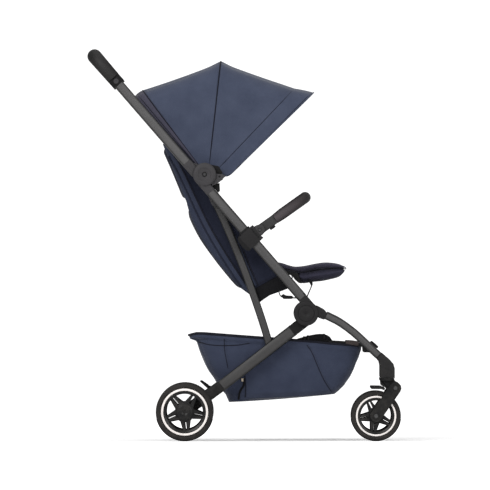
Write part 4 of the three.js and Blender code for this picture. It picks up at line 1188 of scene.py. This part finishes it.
def basket_ring(level, count=168, inset=0.0):
    """One level of the basket, with the cloth bowed in between its corners."""
    x0, z0, x1, z1, half = level
    deep = (0.284 - z0) / 0.177
    points = []
    for k in range(count):
        turn = 2 * math.pi * k / count
        # A rounded box traced by angle.
        power = 0.24 + 0.05 * deep
        cos, sin = math.cos(turn), math.sin(turn)
        u = math.copysign(abs(cos) ** power, cos)
        v = math.copysign(abs(sin) ** power, sin)
        x = (x0 + x1) / 2 + u * ((x1 - x0) / 2 - inset)
        y = v * (half - inset)
        share = (x - x0) / (x1 - x0)
        z = z0 + (z1 - z0) * share
        belly = math.sin(math.pi * min(1.0, deep * 1.05)) * 0.004
        fold = noise.noise(Vector((x * 9, y * 9, deep * 3.0))) * 0.006 * math.sin(math.pi * min(1, deep))
        off_fold = (x - 0.055 - 0.10 * (1 - deep)) / 0.035
        fold += 0.0035 * math.sin(math.pi * min(1, deep)) * math.exp(-(off_fold ** 2))
        drop = 0.0
        if abs(v) > 0.8:
            y += math.copysign(fold - belly * (1 - u * u), y)
            lift = np.interp(x, (-0.152, -0.132, -0.110, 0.046, 0.163, 0.228, 0.315),
                             (0.0, 0.006, 0.007, 0.0045, 0.0045, 0.0015, 0.0))
            drop = -float(lift) * max(0.0, 1 - deep * 1.6)
            hollow = np.interp(x, (-0.043, -0.018, 0.004, 0.120, 0.243), (0.0, -0.0005, 0.0050, 0.0025, 0.0))
            drop -= float(hollow) * max(0.0, deep - 0.8) * 5
        else:
            x += math.copysign(fold, x)
        points.append(Vector((x, y, z - drop)))
    return points


# Side-view lines of the basket's seams, in millimetres, with the radius of the sewn ridge.
BASKET_SEAMS = [
    ("front_seam", [(167, 259), (181, 238), (197, 200), (214, 163), (235, 130)], 0.0010),
    ("rear_seam", [(-56, 276), (-55, 246), (-51, 222), (-46, 196)], 0.0009),
    ("band_edge", [(-138, 270), (-118, 265), (-92, 259), (-55, 257), (-14, 259), (12, 264)], 0.0012),
]


def basket():
    """The hung basket, with its rim, seams, short zip and tag."""
    rows = []
    for a, b in zip(BASKET, BASKET[1:]):
        for step in range(4):
            rows.append(basket_ring(tuple(p + (q - p) * step / 4 for p, q in zip(a, b))))
    rows.append(basket_ring(BASKET[-1]))
    bottom = rows[-1]
    centre = sum(bottom, Vector()) / len(bottom)
    for shrink in (0.85, 0.6, 0.3, 0.02):
        rows.append([centre.lerp(p, shrink) - Vector((0, 0, 0.004 * (1 - shrink) ** 0.7)) for p in bottom])
    closed = [row + [row[0]] for row in rows]
    shell_mesh = grid_mesh(closed)
    bm = bmesh.new()
    bm.from_mesh(shell_mesh)
    bmesh.ops.remove_doubles(bm, verts=bm.verts, dist=1e-5)
    bmesh.ops.recalc_face_normals(bm, faces=bm.faces)
    bm.to_mesh(shell_mesh)
    bm.free()
    shell_mesh.shade_smooth()
    shell = link("basket_shell", shell_mesh, BASKET_CLOTH)
    thicken(shell, 0.0016, -1.0)
    follow = lambda piece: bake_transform(piece)
    rim = link("basket_rim", sweep(rows[0], circle(0.0030, 10), side=(0, 0, 1), closed=True), PIPING)
    pieces = [shell, rim]
    skin = surface_of(closed)
    for side, sign in SIDES.items():
        for label, line, radius in BASKET_SEAMS:
            path = drawn_on(skin, line, sign, 0.0004)
            pieces.append(link(f"basket_{label}_{side}", sweep(path, circle(radius, 8)), PIPING))
            beside = drawn_on(skin, [(x + 5, z) for x, z in line], sign, 0.0004)
            pieces.append(stitches(f"basket_{label}_stitching_{side}", beside))
        flap = drawn_on(skin, [(-3, 170), (-3.5, 150), (-10, 139), (-15, 127), (-17, 112)], sign, 0.0014, 30)
        pieces.append(link(f"basket_zip_{side}", sweep(flap, rounded(0.0024, 0.0052, 0.0010, 3),
                                                       side=(0, 1, 0)), WEBBING))
        welt = drawn_on(skin, [(0, 176), (2, 150), (1, 118)], sign, 0.0010, 30)
        pieces.append(link(f"basket_zip_welt_{side}", sweep(welt, circle(0.0012, 8)), PIPING))
        tag = drawn_on(skin, [(-7, 169), (-7, 161)], sign, 0.0030, 12)
        pieces.append(link(f"basket_tag_{side}", sweep(tag, rounded(0.0012, 0.0055, 0.0005, 2),
                                                       side=(0, 1, 0)), TAG))
    for piece in pieces:
        follow(piece)
    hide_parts("basket")


basket()


# ---- Seat ----------------------------------------------------------------------------------------
PAD_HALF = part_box("backrest")[1].y
BACK_REAR = [mm(10, 396), mm(-16, 418), mm(-44, 450), mm(-78, 493), mm(-115, 545), mm(-140, 592),
             mm(-153, 626), mm(-156, 640), mm(-176, 690), mm(-202, 752), mm(-224, 800)]
BACK_FRONT = [mm(22, 436), mm(-28, 498), mm(-76, 560), mm(-101, 606), mm(-116, 642), mm(-124, 660),
              mm(-144, 704), mm(-172, 762), mm(-200, 812)]


def curve_through(points, count):
    return smooth_path([(x, 0, z) for x, z in points], count)


def pad_mesh(rear, front, half, steps=36, across=24, crown=0.006, ends=9.0):
    """A closed pad between a rear and a front line, crowned, with its sides pulled in."""
    back, face = curve_through(rear, steps), curve_through(front, steps)
    verts, faces = [], []
    ring = 2 * (across + 1)
    for i in range(steps):
        end = min(1.0, ends * i / (steps - 1), ends * (1 - i / (steps - 1)))
        end = math.sqrt(max(0.0, 1 - (1 - end) ** 2))
        middle = back[i].lerp(face[i], 0.5)
        out = (face[i] - back[i]) * 0.5
        for k in range(across + 1):
            y = half * (2 * k / across - 1)
            edge = (1 - abs(2 * k / across - 1) ** 6) ** 0.5 * end
            puff = crown * (1 - (y / half) ** 2) * end
            verts.append(middle + out * (0.12 + 0.88 * edge) + out.normalized() * puff + Vector((0, y, 0)))
        for k in range(across, -1, -1):
            y = half * (2 * k / across - 1)
            edge = (1 - abs(2 * k / across - 1) ** 6) ** 0.5 * end
            verts.append(middle - out * (0.12 + 0.88 * edge) + Vector((0, y, 0)))
    for i in range(steps - 1):
        for k in range(ring):
            a, b = i * ring + k, i * ring + (k + 1) % ring
            faces.append((a, b, b + ring, a + ring))
    faces.append(tuple(range(ring)))
    faces.append(tuple(range((steps - 1) * ring, steps * ring)))
    return mesh_from(verts, faces)


def inflate(obj, cap, voxel=0.005, frames=20):
    """Fills a pad as cloth under pressure, with each point's travel capped."""
    remesh = obj.modifiers.new("remesh", "REMESH")
    remesh.mode = "VOXEL"
    remesh.voxel_size = voxel
    apply_modifiers(obj)
    start = np.array([v.co for v in obj.data.vertices])
    blown = obj.modifiers.new("cloth", "CLOTH")
    blown.settings.quality = 5
    blown.settings.mass = 0.3
    blown.settings.use_pressure = True
    blown.settings.uniform_pressure_force = 4.0
    blown.settings.tension_stiffness = 15
    blown.settings.compression_stiffness = 15
    blown.settings.bending_stiffness = 0.5
    blown.settings.effector_weights.gravity = 0
    blown.collision_settings.use_self_collision = False
    blown.point_cache.frame_start = 1
    blown.point_cache.frame_end = frames
    scene = bpy.context.scene
    for number in range(1, frames + 1):
        scene.frame_set(number)
    shape = obj.evaluated_get(bpy.context.evaluated_depsgraph_get())
    moved = np.array([v.co for v in shape.data.vertices])
    obj.modifiers.clear()
    scene.frame_set(1)
    travel = moved - start
    length = np.linalg.norm(travel, axis=1, keepdims=True)
    travel *= np.minimum(1.0, cap / np.maximum(length, 1e-9))
    obj.data.vertices.foreach_set("co", (start + travel).ravel())
    obj.data.update()
    smooth = obj.modifiers.new("smooth", "SMOOTH")
    smooth.factor = 0.5
    smooth.iterations = 3
    finer = obj.modifiers.new("finer", "SUBSURF")
    finer.levels = finer.render_levels = 1
    apply_modifiers(obj)
    obj.data.shade_smooth()
    return obj


# Side-view outlines of the brackets and trim under the seat, in millimetres.
LEGREST_BRACKET = [(104, 464), (134, 459), (142, 456), (149, 436), (154, 425), (146, 426), (136, 434),
                   (131, 441), (122, 449), (104, 455)]
LEGREST_LOOP = [(170, 434), (176, 436), (183, 428), (183, 420), (179, 419), (176, 425)]
BASE_SKIRT = [(20, 402), (28, 410), (40, 426), (62, 437), (91, 445), (112, 446), (116, 411), (92, 402),
              (68, 393.5), (52, 383), (40, 374), (29, 387)]
PEDAL_NECK = [(-122, 159), (-119.5, 162.5), (-110, 156), (-100, 149), (-92, 147), (-92, 139), (-102, 140.5),
              (-112, 150)]
STRAP_BUCKLE = [(97, 391), (104, 396), (112, 392), (128, 391), (132, 386), (126, 383), (104, 383)]
CARRY_BASE = [(137, 262), (141, 271), (170, 273), (200, 277), (222, 275), (234, 266), (237, 257), (190, 259)]


def seat():
    """Backrest pads, seat liner, legrest, their piping, and the fabric round them."""
    upper = link("backrest_upper_pad", pad_mesh(BACK_REAR[7:], BACK_FRONT[5:], PAD_HALF - 0.003), SEAT_CLOTH)
    lower = link("backrest_lower_pad", pad_mesh(BACK_REAR[:8], BACK_FRONT[:6], PAD_HALF - 0.002), SEAT_CLOTH)
    for pad in (upper, lower):
        inflate(pad, 0.006)
        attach(pad, "backrest")
    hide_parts("backrest")
    cushion = link("seat_pad", pad_mesh(
        [mm(26, 448), mm(60, 452), mm(96, 461), mm(120, 457), mm(142, 452), mm(166, 456), mm(191, 462),
         mm(230, 466), mm(256, 468), mm(270, 463)],
        [mm(26, 468), mm(60, 476), mm(92, 479), mm(113, 473), mm(134, 467.5), mm(160, 469.5), mm(190, 475.5),
         mm(216, 479), mm(244, 477), mm(266, 472), mm(275, 465)], PAD_HALF - 0.001, 60, 24, 0.001, 16.0),
        CUSHION_CLOTH)
    inflate(cushion, 0.002)
    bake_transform(cushion)
    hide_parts("seat_cushion")
    rest = link("legrest_pad", pad_mesh(
        [mm(140, 440), mm(149, 427), mm(166, 428), mm(184, 431), mm(206, 433), mm(226, 437), mm(256, 445),
         mm(271, 457)],
        [mm(140, 455), mm(152, 457.5), mm(168, 459), mm(186, 461), mm(206, 464), mm(228, 466), mm(256, 468),
         mm(272, 463)], PAD_HALF - 0.002, 40, 24, 0.001, 14.0), LEGREST_CLOTH)
    inflate(rest, 0.002)
    ride(rest, "legrest", "legrest")
    for side, sign in SIDES.items():
        y = sign * (PAD_HALF + 0.0008)
        for label, line, radius, finish in (
                ("liner_piping", [(96, 463), (120, 459), (142, 454.5), (166, 459), (191, 463.5), (230, 467),
                                  (256, 468.5), (272, 463.5)], 0.0011, PIPING),
                ("liner_edge", [(92, 478.5), (113, 472.5), (134, 467), (160, 469), (190, 475), (216, 478.5),
                                (244, 476.5), (266, 471.5), (274, 465.5)], 0.0012, MAUVE_CLOTH)):
            path = smooth_path([(x * MM, y, z * MM) for x, z in line], 70)
            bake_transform(link(f"{label}_{side}", sweep(path, circle(radius, 8)), finish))
        block = prism(f"legrest_bracket_{side}", LEGREST_BRACKET, sign * (PAD_HALF - 0.012),
                      sign * (PAD_HALF + 0.0005), BLACK, 0.0015)
        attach(block, "legrest")
        tab = prism(f"legrest_loop_{side}", LEGREST_LOOP, sign * (PAD_HALF - 0.020),
                    sign * (PAD_HALF - 0.002), WEBBING, 0.0010)
        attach(tab, "legrest")
    for side, sign in SIDES.items():
        skirt = prism(f"seat_base_skirt_{side}", BASE_SKIRT, sign * (SOFT_HALF - 0.014),
                      sign * (SOFT_HALF - 0.0012), WEBBING, 0.0020)
        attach(skirt, "frame")
        edge = smooth_path([(x * MM, sign * (SOFT_HALF - 0.0012), z * MM) for x, z in (
            (28, 411), (40, 425), (62, 436), (91, 444))], 30)
        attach(link(f"seat_base_seam_{side}", sweep(edge, circle(0.0012, 8)), PIPING), "frame")
        neck = prism(f"pedal_neck_{side}", PEDAL_NECK, sign * 0.022, sign * 0.036, BLACK, 0.0015)
        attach(neck, "brake_pedal")
    side_panels()
    harness()


FRONT_EDGE = [mm(96, 450), mm(40, 532), mm(-20, 601), mm(-76, 668), mm(-130, 730), mm(-204, 816)]
SEAM_LINE = [mm(14, 404), mm(-36, 480), mm(-76, 545), mm(-104, 596), mm(-130, 650), mm(-150, 692),
             mm(-176, 745), mm(-214, 806)]
BACK_EDGE = [mm(11, 397), mm(-17, 418), mm(-45, 449), mm(-80, 492), mm(-116, 546), mm(-141, 594),
             mm(-154, 630), mm(-158, 646), mm(-178, 694), mm(-222, 802)]


def side_panels():
    """Dark side fabric from the frame tube to a taupe seam, and the wing behind it."""
    steps, across = 40, 14
    for side, sign in SIDES.items():
        front = curve_through(FRONT_EDGE, steps)
        seam = curve_through(SEAM_LINE, steps)
        back = curve_through(BACK_EDGE, steps)
        y0 = SOFT_HALF - 0.0005
        inner, wing = [], []
        for i in range(steps):
            row, other = [], []
            for k in range(across + 1):
                t = k / across
                p = front[i].lerp(seam[i], t)
                hollow = -0.007 * math.sin(math.pi * t) * math.sin(math.pi * i / (steps - 1))
                ripple = noise.noise(Vector((p.x * 14, sign * 2.0, p.z * 10))) * 0.003
                row.append(p + Vector((0, sign * (y0 + hollow + ripple * math.sin(math.pi * t)), 0)))
                q = seam[i].lerp(back[i], t)
                swell = 0.006 * math.sin(math.pi * (0.25 + 0.5 * t))
                turn_in = 0.010 * t ** 3
                other.append(q + Vector((0, sign * (y0 - 0.002 + swell - turn_in), 0)))
            inner.append(row)
            wing.append(other)
        panel = link(f"seat_side_panel_{side}", grid_mesh(inner), SEAT_CLOTH)
        thicken(panel, 0.0012, 0.0)
        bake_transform(panel)
        outer = link(f"seat_wing_{side}", grid_mesh(wing), LINER_CLOTH)
        thicken(outer, 0.0014, 0.0)
        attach(outer, "backrest")
        for label, shift, radius, finish in (
                ("seam", 0.0, 0.0020, PIPING), ("taupe_piping", 0.007, 0.0011, TAUPE),
                ("fold", 0.016, 0.0030, SEAT_CLOTH)):
            line = [p + Vector((-shift * 0.8, sign * (y0 + 0.0026), -shift * 0.5)) for p in seam[2:-3]]
            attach(link(f"seat_{label}_{side}", sweep(line, circle(radius, 8)), finish), "backrest")
        pleat = [(28, 418), (18, 440), (2, 476), (-14, 518), (-26, 556)]
        skin = surface_of(inner)
        path = drawn_on(skin, pleat, sign, 0.0006, 40)
        taper = lambda t: 0.3 + 0.7 * math.sin(math.pi * min(1, t * 0.9 + 0.1))
        pleat_piece = link(f"seat_pleat_{side}", sweep(path, circle(0.0050, 10), taper), LINER_CLOTH)
        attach(pleat_piece, "frame")
        path = drawn_on(skin, [(x + 8, z + 2) for x, z in pleat], sign, 0.0008, 40)
        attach(link(f"seat_pleat_shadow_{side}", sweep(path, circle(0.0022, 8), taper), PIPING), "frame")
    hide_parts("seat_shell")


def strap(name, path, width, thickness, body, material=None, side=(0, 1, 0)):
    """Flat webbing along a path."""
    path = smooth_path(path, max(24, 6 * len(path)))
    piece = link(name, sweep(path, rounded(width, thickness, thickness * 0.45, 3), side=side),
                 material or WEBBING)
    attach(piece, body)
    return piece


def harness():
    """Shoulder, lap and crotch straps with pads."""
    for side, sign in SIDES.items():
        top = [(-0.176, sign * 0.045, 0.788), (-0.138, sign * 0.046, 0.706), (-0.104, sign * 0.047, 0.640),
               (-0.070, sign * 0.048, 0.577), (-0.020, sign * 0.040, 0.520), (0.038, sign * 0.026, 0.490)]
        strap(f"shoulder_strap_{side}", top, 0.030, 0.0018, "backrest")
        pad = [(-0.134, sign * 0.046, 0.702), (-0.102, sign * 0.047, 0.640), (-0.072, sign * 0.048, 0.584)]
        strap(f"shoulder_pad_{side}", pad, 0.052, 0.010, "backrest", SEAT_CLOTH)
        lap = [(0.004, sign * 0.120, 0.478), (0.020, sign * 0.08, 0.482), (0.045, sign * 0.024, 0.485)]
        strap(f"lap_strap_{side}", lap, 0.025, 0.0018, "frame", side=(1, 0, 0))
    strap("crotch_strap", [(0.078, 0, 0.477), (0.068, 0, 0.481), (0.056, 0, 0.484)], 0.028, 0.0018, "frame")


seat()


# ---- Straps and small trim under the seat ---------------------------------------------------------
for side_name, sign in SIDES.items():
    y_strap = sign * 0.128
    hanging = [(0.091, y_strap, 0.410), (0.093, y_strap, 0.398), (0.098, y_strap, 0.3895),
               (0.110, y_strap, 0.3865), (0.139, y_strap, 0.3855)]
    strap(f"seat_strap_{side_name}", hanging, 0.018, 0.0026, "frame")
    buckle = prism(f"seat_strap_buckle_{side_name}", STRAP_BUCKLE, sign * 0.115, sign * 0.139, BLACK, 0.0012)
    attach(buckle, "frame")
    loop = [(0.182, sign * 0.118, 0.424), (0.178, sign * 0.118, 0.412), (0.171, sign * 0.119, 0.396),
            (0.168, sign * 0.120, 0.386)]
    strap(f"legrest_cord_{side_name}", loop, 0.0022, 0.0022, "frame")
    bundle = smooth_path([(0.138, y_strap, 0.268), (0.160, y_strap, 0.272), (0.180, y_strap, 0.276),
                          (0.206, y_strap, 0.280), (0.224, y_strap, 0.277), (0.233, y_strap, 0.268)], 40)
    swell = lambda t: 0.55 + 0.45 * math.sin(math.pi * min(1.0, t * 1.05)) ** 0.7
    carry = link(f"carry_strap_{side_name}", sweep(bundle, rounded(0.026, 0.0165, 0.006, 4), swell), WEBBING)
    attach(carry, "rear_legs")
    packed = prism(f"carry_base_{side_name}", CARRY_BASE, y_strap - 0.011, y_strap + 0.011, WEBBING, 0.0020)
    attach(packed, "rear_legs")
    for number, t in enumerate((0.24, 0.34, 0.78)):
        middle = bundle[int(t * 39)]
        keeper = [middle + Vector((dx, 0, 0)) for dx in (-0.003, 0.003)]
        ring = sweep(keeper, rounded(0.028, 0.0185 * swell(t) + 0.001, 0.006, 4))
        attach(link(f"carry_keeper_{side_name}_{number}", ring, BLACK), "rear_legs")
    rod = [(0.225, sign * 0.139, 0.267), (0.262, sign * 0.139, 0.265), (0.300, sign * 0.138, 0.262),
           (0.331, sign * 0.134, 0.254)]
    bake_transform(link(f"basket_rod_{side_name}", sweep(smooth_path(rod, 30), circle(0.0034, 12)), BLACK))
    sleeve = smooth_path([(0.272, sign * 0.139, 0.2655), (0.290, sign * 0.1385, 0.2645),
                          (0.307, sign * 0.138, 0.262)], 16)
    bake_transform(link(f"basket_sleeve_{side_name}", sweep(sleeve, circle(0.0058, 14)), TAUPE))


# ---- Floor, light and camera ----------------------------------------------------------------------
def plain_material(name, colour, roughness):
    material = bpy.data.materials.new(name)
    material.use_nodes = True
    surface = material.node_tree.nodes["Principled BSDF"]
    surface.inputs["Base Color"].default_value = (*colour, 1)
    surface.inputs["Roughness"].default_value = roughness
    return material


def studio():
    size = 6.0
    mesh = grid_mesh([[Vector((x, y, 0)) for x in (-size, size)] for y in (-size, size)])
    mesh.materials.append(plain_material("pale_floor", (0.93, 0.93, 0.93), 0.9))
    floor = bpy.data.objects.new("floor", mesh)
    bpy.context.scene.collection.objects.link(floor)
    floor.is_shadow_catcher = True
    world = bpy.data.worlds.new("studio")
    world.use_nodes = True
    n = Nodes(world.node_tree)
    sky = world.node_tree.nodes["Background"]
    sky.inputs["Color"].default_value = (1, 1, 1, 1)
    seen = n.add("ShaderNodeLightPath").outputs["Is Camera Ray"]
    n.join(n.ramp(seen, 0.0, 1.0, 0.42, 1.2), sky.inputs["Strength"])
    bpy.context.scene.world = world
    for name, place, energy, spread in (
            ("key", (-2.6, -4.6, 3.6), 240, 3.0), ("fill", (3.2, -4.8, 2.2), 110, 2.5),
            ("top", (0.0, 0.6, 4.8), 90, 4.5)):
        light = bpy.data.lights.new(name, "AREA")
        light.energy = energy
        light.size = spread
        lamp = bpy.data.objects.new(name, light)
        bpy.context.scene.collection.objects.link(lamp)
        lamp.location = place
        lamp.rotation_euler = (Vector((0, 0, 0.5)) - Vector(place)).to_track_quat("-Z", "Y").to_euler()


def camera():
    """Level side view from the right, from far off."""
    distance, height, frame_width = 50.0, 0.529, 1.323
    data = bpy.data.cameras.new("camera")
    data.sensor_width = 36.0
    data.lens = 36.0 * (distance - FRAME_OUTER) / frame_width
    data.clip_end = 100.0
    cam = bpy.data.objects.new("camera", data)
    bpy.context.scene.collection.objects.link(cam)
    cam.location = (0.0, -distance, height)
    cam.rotation_euler = (math.pi / 2, 0, 0)
    bpy.context.scene.camera = cam


studio()
camera()
bpy.context.scene.view_settings.view_transform = "Standard"
